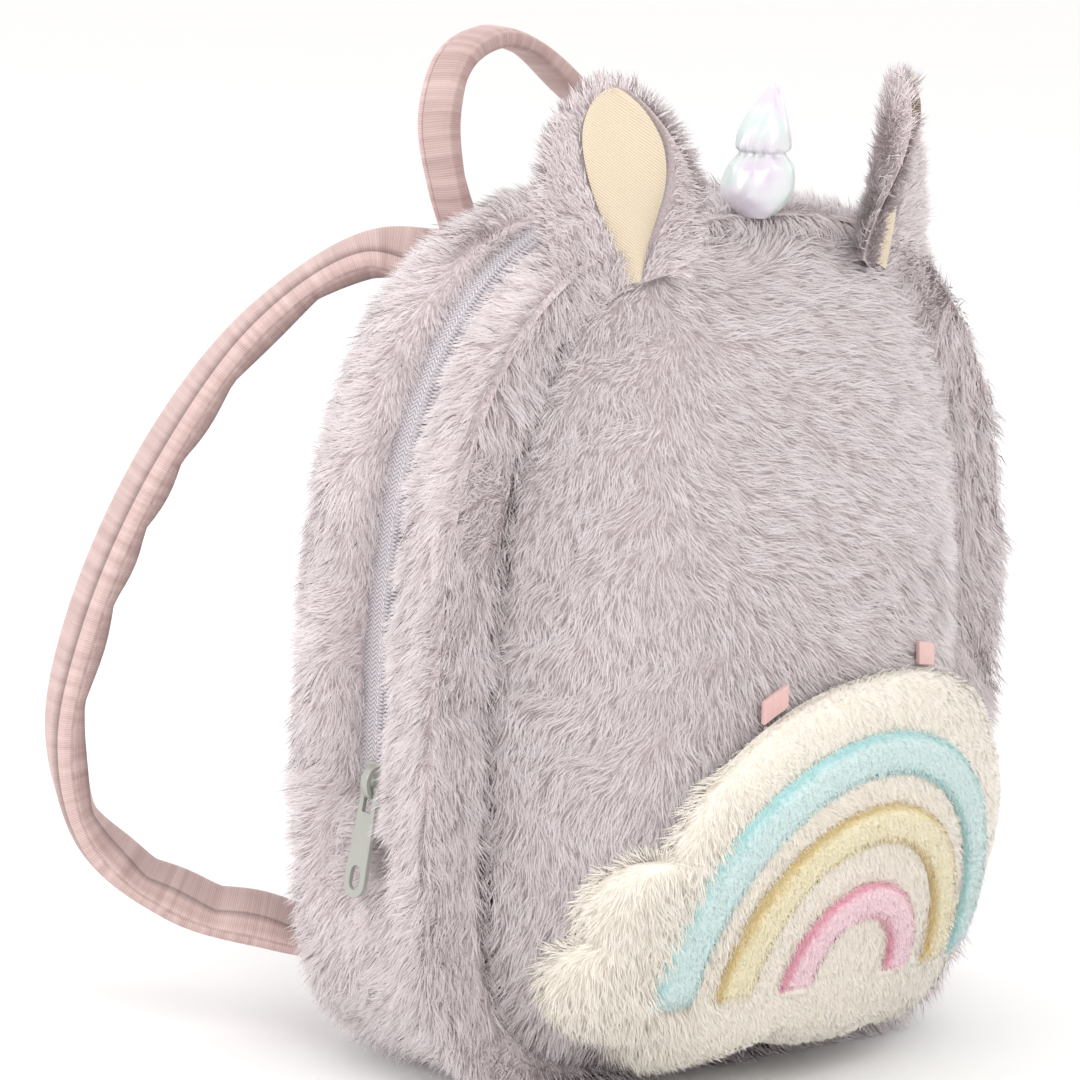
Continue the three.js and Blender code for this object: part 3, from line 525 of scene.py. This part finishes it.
twill = bpy.data.materials.new("cream_twill")
twill.use_nodes = True
nodes, links = twill.node_tree.nodes, twill.node_tree.links
shader = nodes["Principled BSDF"]
place = nodes.new("ShaderNodeTexCoord")
diagonal = nodes.new("ShaderNodeMapping")
diagonal.inputs["Rotation"].default_value = (0.2, np.radians(52), 0.3)
diagonal.inputs["Scale"].default_value = (480, 480, 480)
lines = nodes.new("ShaderNodeTexWave")
lines.inputs["Scale"].default_value = 1.0
lines.inputs["Distortion"].default_value = 1.2
lines.inputs["Detail"].default_value = 1.0
bump = nodes.new("ShaderNodeBump")
bump.inputs["Strength"].default_value = 0.5
bump.inputs["Distance"].default_value = 0.0003
ramp = nodes.new("ShaderNodeValToRGB")
ramp.color_ramp.elements[0].color = tint("C6B69D")
ramp.color_ramp.elements[1].color = tint("DCCDB6")
links.new(place.outputs["Object"], diagonal.inputs["Vector"])
links.new(diagonal.outputs["Vector"], lines.inputs["Vector"])
links.new(lines.outputs["Fac"], ramp.inputs["Fac"])
links.new(ramp.outputs["Color"], shader.inputs["Base Color"])
links.new(lines.outputs["Fac"], bump.inputs["Height"])
links.new(bump.outputs["Normal"], shader.inputs["Normal"])
shader.inputs["Roughness"].default_value = 0.85
shader.inputs["Sheen Weight"].default_value = 0.2


def grid_faces(rows, columns, around=False):
    """Quads between neighbouring rows and columns of a grid, the last column joined to the first if around"""
    index = np.arange(rows * columns).reshape(rows, columns)
    if around:
        index = np.concatenate([index, index[:, :1]], 1)
    return np.stack([index[:-1, :-1], index[1:, :-1], index[1:, 1:], index[:-1, 1:]], -1).reshape(-1, 4)


def smooth_piece(name, grid, material, node, body="bag", around=False, uv=None, flip=False):
    """One object from a grid of points in mm, of which each end loop is closed with a pole if around, with an
    optional map of two shares or lengths"""
    rows, columns = grid.shape[:2]
    points = grid.reshape(-1, 3)
    faces = grid_faces(rows, columns, around)
    if flip:
        faces = faces[:, ::-1]
    faces = faces.tolist()
    if around:
        points = np.concatenate([points, grid[0].mean(0)[None], grid[-1].mean(0)[None]])
        pole, last = rows * columns, (rows - 1) * columns
        for c in range(columns):
            low, high = [pole, c, (c + 1) % columns], [pole + 1, last + (c + 1) % columns, last + c]
            faces += [low[::-1], high[::-1]] if flip else [low, high]
    mesh = bpy.data.meshes.new(name)
    mesh.from_pydata((points / 1000).tolist(), [], faces)
    if uv is not None:
        flat = np.concatenate([uv.reshape(-1, 2), uv[:1, 0], uv[-1:, 0]])
        corner_points = np.zeros(len(mesh.loops), np.int32)
        mesh.loops.foreach_get("vertex_index", corner_points)
        mesh.uv_layers.new(name="lay").data.foreach_set("uv", flat[corner_points].astype(np.float32).ravel())
    mesh.shade_smooth()
    mesh.materials.append(material)
    piece = bpy.data.objects.new(name, mesh)
    bpy.context.scene.collection.objects.link(piece)
    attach(piece, body)
    if node:
        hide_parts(node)
    return piece


lining_shift = 0.12


def lining_half(up):
    """Half the lining's width as a share of the ear's: a drop with a point below and a round top"""
    round_top = np.sqrt(np.clip(1 - ((up - 0.7) / 0.3) ** 2, 0, 1))
    pointed = 0.2 + 0.8 * np.sin(np.pi / 2 * np.clip(up / 0.7, 0, 1)) ** 1.3
    return 0.62 * np.where(up > 0.7, round_top, pointed)


def ear_flow(points):
    """The pile on an ear is combed up to its tip and out"""
    return np.array([0.0, 0.0, 1.0]) + 0.5 * waves(points, 25, 9)


for word, side, seed in (("left", -1, 71), ("right", 1, 81)):
    leaf = ear_surface(side)
    places, facings = scatter(leaf, 16000, seed, 1, (80, 80))
    up_ear = (places[:, 2] - seam_height(ear_place) + ear_sink) / ear_height
    front_way, sideways = ear_ways(side, up_ear)
    axis = side * (ear_place + 0.12 * up_ear * ear_height)
    off_middle = (places[:, 0] - axis) * sideways[:, 0] + (places[:, 1] - front_seam_y) * sideways[:, 1]
    is_front = (facings * front_way).sum(1) > 0.3
    on_lining = lining_half(np.clip((up_ear - 0.05) / 0.9, 0, 1)) * ear_half_width - 1.5
    kept = ~(is_front & (np.abs(off_middle + side * lining_shift * ear_half_width) < on_lining))
    places, facings, off_middle = places[kept], facings[kept], off_middle[kept]
    combed = ear_flow(places) + 0.09 * off_middle[:, None] * sideways[kept] - 0.35 * front_way[kept]
    plush_piece(f"ear_{word}", sheet_grid(leaf, 24, 40, 1, 0.3),
                pile(places, facings, combed, seed + 1, length=6.2, lean=1.08, tuft=5.0, strays=0.005),
                lilac_fur, f"ear_{word}")
    up, across = np.meshgrid(np.linspace(0, 1, 30), np.linspace(-1, 1, 17), indexing="ij")
    bulge = 4.6 + 0.7 * np.sin(7 * up + 2.5 * across) - 1.2 * across ** 4
    front = ear_point(side, across * lining_half(up) - side * lining_shift, 0.05 + 0.88 * up, bulge)
    smooth_piece(f"ear_lining_{word}_twill", front, twill, f"ear_lining_{word}", flip=True)

# The horn is a small stuffed cone of pearly satin, gathered by a thread a little over half way up,
# and sewn into the front seam between the ears.
horn_height, horn_radius, horn_lean, horn_cinch = 44.5, 10.9, np.radians(5), 0.54
horn_profile = [(0.45, 0.1), (0.82, 0.18), (1.04, 0.29), (0.94, 0.43), (0.72, 0.5), (0.6, 0.54), (0.74, 0.58),
                (0.74, 0.66), (0.55, 0.8), (0.3, 0.92), (0.1, 0.99), (0.01, 1.01)]
up, around = np.meshgrid(np.linspace(0, 1, 80), np.linspace(0, 2 * np.pi, 64, endpoint=False), indexing="ij")
out, height = np.moveaxis(through(horn_profile, up), -1, 0)
pleat = np.exp(-((height - horn_cinch) / 0.09) ** 2)
reach = horn_radius * (out + pleat * 0.07 * np.sin(13 * around + 3 * np.sin(2 * around))
                       + 0.03 * np.sin(3 * around + 9 * height) + 0.02 * np.sin(5 * around - 14 * height))
rise_mm = height * horn_height
x = reach * np.cos(around) + rise_mm * np.sin(horn_lean) + 1.2 * np.clip(height - horn_cinch, 0, 1) * 3
horn_grid = np.stack([x, front_seam_y + reach * np.sin(around), seam_height(0.0) + rise_mm], -1)

satin = bpy.data.materials.new("pearly_satin")
satin.use_nodes = True
nodes, links = satin.node_tree.nodes, satin.node_tree.links
shader = nodes["Principled BSDF"]
place = nodes.new("ShaderNodeTexCoord")
clouds = nodes.new("ShaderNodeTexNoise")
clouds.inputs["Scale"].default_value = 70
clouds.inputs["Detail"].default_value = 2
ramp = nodes.new("ShaderNodeValToRGB")
for position, code in ((0.35, "C3D1CC"), (0.5, "D2D0D5"), (0.62, "CDC2D1")):
    element = ramp.color_ramp.elements.new(position)
    element.color = tint(code)
ramp.color_ramp.elements[0].color = tint("C8CECC")
ramp.color_ramp.elements[-1].color = tint("D2CDD6")
links.new(place.outputs["Object"], clouds.inputs["Vector"])
links.new(clouds.outputs["Fac"], ramp.inputs["Fac"])
links.new(ramp.outputs["Color"], shader.inputs["Base Color"])
shader.inputs["Metallic"].default_value = 0.1
shader.inputs["Roughness"].default_value = 0.28
shader.inputs["Coat Weight"].default_value = 0.4
shader.inputs["Coat Roughness"].default_value = 0.2
smooth_piece("horn_satin_cone", horn_grid, satin, "horn", around=True, flip=True)

# The zip's tape is light grey herringbone twill, and its coil two rows of clear nylon turns that lock
# into each other, sewn to the tape by a line of white stitches on each side.
tape_low, tape_high = -8.5, 16.5


def zip_frames(count, start_height, lift, depth):
    """Places evenly along the zip line from the slit's right end up and over to a height on the left, with
    the way along and the way out there"""
    angles = np.linspace(slit_angle, np.pi - np.arctan2(start_height - widest_height, 108), 4000)
    line = outline_point(zip_line, angles, depth, lift=lift)
    length = np.concatenate([[0], np.cumsum(np.linalg.norm(np.diff(line, axis=0), axis=1))])
    at = np.linspace(0, length[-1], count)
    origin = np.stack([np.interp(at, length, line[:, k]) for k in range(3)], -1)
    along = unit(np.gradient(origin, axis=0))
    return origin, along, np.cross(along, [0.0, -1.0, 0.0])


def repeated(origin, along, out, sizes, rings=5, sides=8):
    """Round beads at many places: a ball of half sizes (along, across in y, out) at each origin, as points
    and faces"""
    polar, around = np.meshgrid(np.linspace(0.12, np.pi - 0.12, rings),
                                np.linspace(0, 2 * np.pi, sides, endpoint=False), indexing="ij")
    ball = np.stack([np.sin(polar) * np.cos(around), np.cos(polar), np.sin(polar) * np.sin(around)], -1)
    ball = ball.reshape(-1, 3)
    across = np.cross(out, along)
    points = (origin[:, None] + ball[None, :, :1] * sizes[0] * along[:, None]
              + ball[None, :, 1:2] * sizes[1] * across[:, None] + ball[None, :, 2:] * sizes[2] * out[:, None])
    body = grid_faces(rings, sides, around=True)
    shift = np.arange(len(origin))[:, None, None] * len(ball)
    caps = [list(range(sides)), list(range(len(ball) - 1, len(ball) - 1 - sides, -1))]
    faces = (body[None] + shift).reshape(-1, 4).tolist()
    faces += [[corner + k * len(ball) for corner in cap] for k in range(len(origin)) for cap in caps]
    return points.reshape(-1, 3), faces


def bead_piece(name, groups, material, node, body="bag"):
    """One object from several groups of beads"""
    starts = np.cumsum([0] + [len(points) for points, _ in groups])
    mesh = bpy.data.meshes.new(name)
    faces = [[corner + int(start) for corner in face]
             for (_, group), start in zip(groups, starts) for face in group]
    mesh.from_pydata((np.concatenate([points for points, _ in groups]) / 1000).tolist(), [], faces)
    mesh.shade_smooth()
    mesh.materials.append(material)
    piece = bpy.data.objects.new(name, mesh)
    bpy.context.scene.collection.objects.link(piece)
    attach(piece, body)
    if node:
        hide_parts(node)
    return piece


def plain_finish(name, code, roughness, **sockets):
    """A Principled material of one colour with a fine grain in its bump, and other sockets by name"""
    material = bpy.data.materials.new(name)
    material.use_nodes = True
    nodes, links = material.node_tree.nodes, material.node_tree.links
    shader = nodes["Principled BSDF"]
    place = nodes.new("ShaderNodeTexCoord")
    grain = nodes.new("ShaderNodeTexNoise")
    grain.inputs["Scale"].default_value = 900
    bump = nodes.new("ShaderNodeBump")
    bump.inputs["Strength"].default_value = 0.15
    bump.inputs["Distance"].default_value = 0.0002
    links.new(place.outputs["Object"], grain.inputs["Vector"])
    links.new(grain.outputs["Fac"], bump.inputs["Height"])
    links.new(bump.outputs["Normal"], shader.inputs["Normal"])
    shader.inputs["Base Color"].default_value = tint(code)
    shader.inputs["Roughness"].default_value = roughness
    for socket, value in sockets.items():
        shader.inputs[socket.replace("_", " ")].default_value = value
    return material


tape_cloth = bpy.data.materials.new("zip_tape_twill")
tape_cloth.use_nodes = True
nodes, links = tape_cloth.node_tree.nodes, tape_cloth.node_tree.links
shader = nodes["Principled BSDF"]
lay = nodes.new("ShaderNodeUVMap")
lay.uv_map = "lay"
zigzag = nodes.new("ShaderNodeTexWave")
zigzag.inputs["Scale"].default_value = 0.3
apart, fold, joined = (nodes.new(f"ShaderNode{kind}") for kind in ("SeparateXYZ", "Math", "CombineXYZ"))
fold.operation = "PINGPONG"
fold.inputs[1].default_value = 1.7
links.new(lay.outputs["UV"], apart.inputs["Vector"])
links.new(apart.outputs["Y"], fold.inputs[0])
links.new(apart.outputs["X"], joined.inputs["X"])
links.new(fold.outputs["Value"], joined.inputs["Y"])
lean = nodes.new("ShaderNodeMapping")
lean.inputs["Rotation"].default_value = (0, 0, np.radians(45))
links.new(joined.outputs["Vector"], lean.inputs["Vector"])
links.new(lean.outputs["Vector"], zigzag.inputs["Vector"])
ramp = nodes.new("ShaderNodeValToRGB")
ramp.color_ramp.elements[0].color = tint("8D868C")
ramp.color_ramp.elements[1].color = tint("CFC9CD")
bump = nodes.new("ShaderNodeBump")
bump.inputs["Strength"].default_value = 0.5
bump.inputs["Distance"].default_value = 0.0003
links.new(zigzag.outputs["Fac"], ramp.inputs["Fac"])
links.new(ramp.outputs["Color"], shader.inputs["Base Color"])
links.new(zigzag.outputs["Fac"], bump.inputs["Height"])
links.new(bump.outputs["Normal"], shader.inputs["Normal"])
shader.inputs["Roughness"].default_value = 0.8
shader.inputs["Sheen Weight"].default_value = 0.2

origin, along, out = zip_frames(260, 85, 0.0, 0.0)
section = np.array([(tape_low, 0), (0, 0), (tape_high, 0), (tape_high, -0.9), (tape_low, -0.9)])
backwards = np.array([0.0, 1.0, 0.0])
tape_grid = origin[:, None] + section[None, :, :1] * backwards + section[None, :, 1:] * out[:, None]
weave_length = np.linspace(0, 520, 260)
tape_lay = np.stack(np.broadcast_arrays(weave_length[:, None], section[:, 0]), -1)
smooth_piece("zip_tape_twill_band", tape_grid, tape_cloth, "zip_tape", around=True, uv=tape_lay)

nylon = plain_finish("clear_nylon", "B2ACB2", 0.3, Coat_Weight=0.5)
white_thread = plain_finish("white_thread", "F0EEEE", 0.7)
turns = []
for row, shift in ((-1, 0.0), (1, 0.5)):
    origin, along, out = zip_frames(400, 101.4, 1.35, row * 1.3)
    origin = origin + along * shift * 1.27
    slant = unit(along + row * 0.12 * np.array([0.0, 1.0, 0.0]))
    turns.append(repeated(origin, slant, out, (0.56, 1.75, 1.0), 4, 7))
bead_piece("zip_coil_turns", turns, nylon, "zip_coil")
stitches = [repeated(*zip_frames(250, 92, 0.1, depth), (0.72, 0.2, 0.22), 3, 5) for depth in (-4.0, 4.0, 4.9)]
bead_piece("zip_stitches", stitches, white_thread, None)

# The slider and its pull are cast and enamelled a pale greenish grey, with softly rounded edges.
enamel = plain_finish("grey_enamel", "9C9D96", 0.32, Coat_Weight=0.25)


def rounded_copy(name, node, body, width, material):
    """The CAD solid's own mesh with its doubles merged, its flats made whole and its edges rounded"""
    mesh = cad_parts[node].data.copy()
    piece = bpy.data.objects.new(name, mesh)
    bpy.context.scene.collection.objects.link(piece)
    work = bmesh.new()
    work.from_mesh(mesh)
    bmesh.ops.remove_doubles(work, verts=work.verts, dist=2e-6)
    bmesh.ops.dissolve_limit(work, angle_limit=np.radians(1), verts=work.verts, edges=work.edges)
    work.to_mesh(mesh)
    work.free()
    mesh.shade_smooth()
    mesh.materials.clear()
    mesh.materials.append(material)
    bevel = piece.modifiers.new("rounding", "BEVEL")
    bevel.width, bevel.segments, bevel.limit_method = width, 3, "ANGLE"
    bevel.angle_limit = np.radians(40)
    bevel.harden_normals = True
    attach(piece, body)
    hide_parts(node)
    return piece


rounded_copy("zip_slider_body", "zip_slider", "bag", 0.00035, enamel)
rounded_copy("zip_pull_tab", "zip_pull", "pull", 0.00028, enamel)

# The shoulder straps and the carrying handle are sewn from dusty rose stretch velvet over soft
# padding, with a flat stitched margin along one edge and an underside that puffs between stitches.
strap_rows = np.array([
    (0, 1, 20, 20), (0.17, 1.012, 30, 16), (0.36, 1.015, 46, 7), (0.64, 0.905, 58, 0), (0.86, 0.7, 64, 0),
    (0.98, 0.45, 64, 0), (0.97, 0.27, 62, 0), (0.82, 0.136, 56, 3), (0.52, 0.048, 50, 6), (0.2, 0.014, 45, 6),
    (0, 0, 40, 6)])
strap_splay, strap_reach, strap_top, strap_foot = np.radians(52), 100.0, 241.0, 33.0
strap_top_x, strap_foot_x, strap_start_y = 40.18, 83.99, 46.0

velvet = bpy.data.materials.new("rose_velvet")
velvet.use_nodes = True
nodes, links = velvet.node_tree.nodes, velvet.node_tree.links
shader = nodes["Principled BSDF"]
lay = nodes.new("ShaderNodeUVMap")
lay.uv_map = "lay"
ribs = nodes.new("ShaderNodeTexWave")
ribs.bands_direction = "X"
ribs.inputs["Scale"].default_value = 0.45
ribs.inputs["Distortion"].default_value = 2.5
ribs.inputs["Detail"].default_value = 2
crush = nodes.new("ShaderNodeTexNoise")
crush.inputs["Scale"].default_value = 0.35
crush.inputs["Detail"].default_value = 5
mixed = nodes.new("ShaderNodeMath")
mixed.operation = "MULTIPLY_ADD"
mixed.inputs[1].default_value = 0.22
ramp = nodes.new("ShaderNodeValToRGB")
ramp.color_ramp.elements[0].position, ramp.color_ramp.elements[0].color = 0.3, tint("A58783")
ramp.color_ramp.elements[1].position, ramp.color_ramp.elements[1].color = 0.85, tint("D0B7B2")
bump = nodes.new("ShaderNodeBump")
bump.inputs["Strength"].default_value = 0.35
bump.inputs["Distance"].default_value = 0.0004
links.new(lay.outputs["UV"], ribs.inputs["Vector"])
links.new(lay.outputs["UV"], crush.inputs["Vector"])
links.new(ribs.outputs["Fac"], mixed.inputs[0])
links.new(crush.outputs["Fac"], mixed.inputs[2])
links.new(mixed.outputs["Value"], ramp.inputs["Fac"])
# The colour is multiplied across the band: a narrow dark line at the margin's stitched groove is painted
# shade in the groove, and the band past the margin is a little darker than the margin strip.
apart = nodes.new("ShaderNodeSeparateXYZ")
from_margin = nodes.new("ShaderNodeMath")
from_margin.operation = "PINGPONG"
from_margin.inputs[1].default_value = 1.0
edge = nodes.new("ShaderNodeValToRGB")
for position, grey in ((0.29, 1.0), (0.325, 0.45), (0.36, 0.86)):
    stop = edge.color_ramp.elements.new(position)
    stop.color = (grey, grey, grey, 1)
edge.color_ramp.elements[0].color = (1, 1, 1, 1)
edge.color_ramp.elements[-1].color = (0.8, 0.78, 0.78, 1)
shaded = nodes.new("ShaderNodeMix")
shaded.data_type, shaded.blend_type = "RGBA", "MULTIPLY"
shaded.inputs["Factor"].default_value = 1.0
links.new(lay.outputs["UV"], apart.inputs["Vector"])
links.new(apart.outputs["Y"], from_margin.inputs[0])
links.new(from_margin.outputs["Value"], edge.inputs["Fac"])
links.new(ramp.outputs["Color"], shaded.inputs["A"])
links.new(edge.outputs["Color"], shaded.inputs["B"])
links.new(shaded.outputs["Result"], shader.inputs["Base Color"])
links.new(mixed.outputs["Value"], bump.inputs["Height"])
links.new(bump.outputs["Normal"], shader.inputs["Normal"])
shader.inputs["Roughness"].default_value = 0.7
shader.inputs["Sheen Weight"].default_value = 0.6
shader.inputs["Sheen Roughness"].default_value = 0.35
shader.inputs["Sheen Tint"].default_value = tint("F2D9D6")


def sewn_band(centre, wide, width, thickness, margin):
    """A padded band's grid: round its section by columns. Its outer face is nearly flat with a sewn margin
    strip at +wide, its map is mm along and half turns round, and its underside bulges by |sin| between
    stitches about 30 mm apart."""
    along = unit(np.gradient(centre, axis=0))
    wide = unit(wide - (wide * along).sum(1, keepdims=True) * along)
    high = np.cross(along, wide)
    distance_along = np.concatenate([[0], np.cumsum(np.linalg.norm(np.diff(centre, axis=0), axis=1))])
    around = np.linspace(0, 2 * np.pi, 44, endpoint=False)
    across = np.sign(np.cos(around)) * np.abs(np.cos(around)) ** 0.7
    is_outer = np.sin(around) >= 0
    from_edge = (1 - across) * width / 2
    crown = np.abs(np.sin(around)) ** 0.45
    grooves = (np.exp(-((from_edge - margin) / 0.7) ** 2)
               + 0.5 * np.exp(-((from_edge - width + 1.5) / 0.7) ** 2))
    outer = crown * (1 - 0.35 * grooves - 0.25 * (from_edge < margin))
    phase = np.pi * distance_along / 30 + 0.6 * np.sin(distance_along / 23)
    puff = 0.72 + 0.3 * np.abs(np.sin(phase))[:, None]
    under = crown * np.where(from_edge > margin, 1.0, 0.55)
    height = np.where(is_outer, 0.5 * thickness * outer, -0.62 * thickness * under * puff)
    grid = (centre[:, None] + wide[:, None] * (across * width / 2)[None, :, None]
            + high[:, None] * height[..., None])
    lay = np.stack(np.broadcast_arrays(distance_along[:, None], around[None, :] / np.pi), -1)
    return grid, lay


share = np.linspace(0, 1, 150)
strap_back, strap_up = strap_rows[:, 0], strap_rows[:, 1]
route_rows = np.stack([
    strap_foot_x + (strap_top_x - strap_foot_x) * strap_up + np.sin(strap_splay) * strap_back * strap_reach,
    strap_start_y + np.cos(strap_splay) * strap_back * strap_reach,
    strap_foot + (strap_top - strap_foot) * strap_up], -1)
strap_centre = through(route_rows, share)
turned, dipped = np.radians(np.moveaxis(through(strap_rows[:, 2:], share), -1, 0))
strap_wide = np.stack([np.cos(dipped) * np.cos(turned), -np.cos(dipped) * np.sin(turned),
                       -np.sin(dipped)], -1)
grid, lay_mm = sewn_band(strap_centre * [-1, 1, 1], strap_wide * [-1, 1, 1], 32.0, 10.0, 5.5)
smooth_piece("strap_left_velvet", grid, velvet, "strap_left", around=True, uv=lay_mm)
smooth_piece("strap_right_velvet", grid * [-1, 1, 1], velvet, "strap_right", around=True,
             uv=lay_mm, flip=True)

handle_rows = np.array([
    (-1, 0, 0), (-1.16, 0.3, 0.2), (-1.2, 0.62, 0.6), (-1.02, 0.9, 0.9), (-0.7, 1, 1), (-0.35, 0.93, 1),
    (0.05, 0.72, 0.8), (0.58, 0.36, 0.4), (1, 0, 0)])
handle_half, handle_root, handle_rise, handle_lean = 45.08, 246.4, 66.0, 10.0
handle_route = np.stack([handle_rows[:, 0] * handle_half, 47 + handle_rows[:, 2] * handle_lean,
                         handle_root + handle_rows[:, 1] * handle_rise], -1)
handle_centre = through(handle_route, share)
handle_wide = np.broadcast_to([0.0, 1.0, 0.0], handle_centre.shape).copy()
grid, lay_mm = sewn_band(handle_centre, handle_wide, 17.0, 6.0, 3.5)
smooth_piece("carrying_handle_velvet", grid, velvet, "carrying_handle", around=True, uv=lay_mm)

# The pocket is a cloud of short cream plush, cut with round lobes and stuffed, sewn on low at the
# front. Three raised arches of coloured plush make a rainbow on it.
cloud_lobes = np.array([  # middle across and up, half width and half height, in mm
    (23.0, 72.0, 79.9, 61.5), (-56.9, 63.9, 18.8, 19.0), (-62.0, 42.0, 18.5, 18.5), (-32.0, 41.0, 32.0, 32.0),
    (58.0, 43.0, 32.0, 32.0), (78.0, 52.0, 21.0, 21.0)])
cloud_x, cloud_z = 7.99, 65.8


def cloud_reach(angle):
    """Distance from the cloud's middle to the outermost lobe's edge, each lobe an ellipse cut by a ray"""
    angle = np.asarray(angle)[..., None]
    sizes = cloud_lobes[:, 2:]
    middle = (cloud_lobes[:, :2] - [cloud_x, cloud_z]) / sizes
    way = np.stack([np.cos(angle) / sizes[:, 0], np.sin(angle) / sizes[:, 1]], -1)
    speed = np.linalg.norm(way, axis=-1)
    along = (way * middle).sum(-1) / speed
    inside = 1 - (middle ** 2).sum(-1) + along ** 2
    return np.where(inside > 0, (along + np.sqrt(np.maximum(inside, 0))) / speed, 0).max(-1)


def panel_depth(x, z):
    """Depth of the front panel behind a place, held level past 0.93 of the way to its seam"""
    angle = np.arctan2(z - widest_height, x)
    share = np.hypot(x, z - widest_height) / outline_reach(front_seam, angle)
    fullness = 2.2 + 2.4 * (1 - np.sin(angle)) / 2
    return front_seam_y - seam_gap - 46 * (1 - np.minimum(share, 0.93) ** fullness)


def cloud_face(x, z):
    """Depth of the puffed face: a crown of two parabolas that falls to the back at the edge as
    sqrt(1 - share^12)"""
    angle = np.arctan2(z - cloud_z, x - cloud_x)
    share = np.minimum(np.hypot(x - cloud_x, z - cloud_z) / cloud_reach(angle), 1)
    back = panel_depth(x, z) - 0.8 - 2 * share ** 4
    crown = front_seam_y - 46 - 16 + x ** 2 / 300 + (z - 105) ** 2 / 380
    return back - 2 + (crown - back + 2) * np.sqrt(1 - share ** 12)


def cloud_surface(u, v):
    """The face out from the middle by u and once round by v, its last tenth turned back to the panel"""
    angle = 2 * np.pi * v
    reach = cloud_reach(angle) * np.minimum(u / 0.92, 1)
    x, z = cloud_x + reach * np.cos(angle), cloud_z + reach * np.sin(angle)
    return np.stack([x, cloud_face(x, z) + 3.4 * smooth((u - 0.92) / 0.08), z], -1)


rainbow_x, rainbow_z, rainbow_stretch = 12.5, 40.0, 0.12
bands = (("blue", 63.5, 12.5), ("yellow", 44.0, 11.5), ("pink", 22.0, 11.0))


def from_rainbow(points, radius):
    """How far outside an arch's middle line a place lies, where the arch is rainbow_stretch of its radius
    taller than wide"""
    x, z = points[..., 0] - rainbow_x, points[..., 2] - rainbow_z
    angle = np.arctan2(z, x)
    return np.hypot(x, z / (1 + rainbow_stretch * np.clip(np.sin(angle), 0, 1))) - radius


cream_fur = toned_fur("cream_fur", [(0.0, "DECFBA"), (0.35, "ECE2D2"), (0.7, "F4EDE1"), (1.0, "FBF7EF")])
cloud_backing = inset(cloud_surface, 1.4, 1)
places, facings = scatter(cloud_backing, 46000, 91, 1)
off_bands = np.ones(len(places), bool)
for _, radius, width in bands:
    on_arch = (np.abs(from_rainbow(places, radius)) < width / 2 - 0.4) & (places[:, 2] > rainbow_z - 4)
    off_bands &= ~on_arch
places, facings = places[off_bands], facings[off_bands]
cloud_flow = np.array([0.35, 0.0, -1.0]) + 0.4 * waves(places, 40, 12)
longer = 1 + 1.6 * smooth((-30 - places[:, 0]) / 22)
plush_piece("pocket_cloud", sheet_grid(cloud_backing, 60, 160, 1, 0.6),
            pile(places, facings, cloud_flow, 95, length=2.8, lean=1.12, tuft=4.5, gather=0.1, width=0.3,
                 scale=longer), cream_fur, "pocket_cloud")

band_height, band_sunk = 3.4, 1.2
for (word, radius, width), codes, seed in zip(bands, (
    ("98CBCB", "CCE0DE", "DAE9E7"), ("CFB274", "EAE0BE", "F1EBD6"), ("DB8CA1", "EFCFD6", "F4DFE4"),
), (101, 111, 121)):
    def band_surface(u, v, radius=radius, width=width):
        """The arch: once along by u, over its section by v, band_height above a foot sunk in the cloud"""
        angle = np.radians(-4 + 188 * u)
        across = 2 * v - 1
        reach = radius + across * width / 2
        x = rainbow_x + reach * np.cos(angle)
        z = rainbow_z + (reach + radius * rainbow_stretch) * np.sin(angle)
        at_ends = np.minimum(1, 40 * np.minimum(u, 1 - u) + 0.3)
        raise_by = band_height * np.sqrt(np.clip(1 - np.abs(across) ** 3, 0, 1)) * at_ends
        return np.stack([x, cloud_face(x, z) + band_sunk - raise_by, z], -1)
    places, facings = scatter(band_surface, int(radius * 120), seed, -1, (160, 16))
    flow = np.stack([0.3 + 0 * places[:, 0], 0 * places[:, 0], -1 + 0 * places[:, 0]], -1)
    off_line = np.abs(from_rainbow(places, radius)) / (width / 2)
    # Each band is darker towards its edges, in its backing's tone and as dim on its pile: the darker thread
    # of its stitched edges, and painted shade in the grooves there.
    edge_tone = 0.6 - 0.5 * smooth((np.abs(np.linspace(-1, 1, 14)) - 0.5) / 0.4)
    plush_piece(f"band_{word}", sheet_grid(band_surface, 90, 14, -1, np.tile(edge_tone, 90)),
                pile(places, facings, flow, seed + 1, length=2.2, lean=1.1, tuft=3.0, gather=0.1, width=0.3,
                     dim=0.6 * smooth((off_line - 0.5) / 0.4)),
                toned_fur(f"{word}_fur", [(0.0, codes[0]), (0.5, codes[1]), (1.0, codes[2])]), f"band_{word}")

# Two bits of ribbed pink ribbon stick out of the cloud's top seam.
ribbon_cloth = plain_finish("ribbed_ribbon", "CFA9A5", 0.7, Sheen_Weight=0.3)
nodes, links = ribbon_cloth.node_tree.nodes, ribbon_cloth.node_tree.links
ribs = nodes.new("ShaderNodeTexWave")
ribs.bands_direction = "X"
ribs.inputs["Scale"].default_value = 190
links.new(nodes["Texture Coordinate"].outputs["Object"], ribs.inputs["Vector"])
links.new(ribs.outputs["Fac"], nodes["Bump"].inputs["Height"])
nodes["Bump"].inputs["Strength"].default_value = 0.8
for word in ("left", "right"):
    rounded_copy(f"ribbon_{word}_bit", f"ribbon_{word}", "bag", 0.0005, ribbon_cloth)
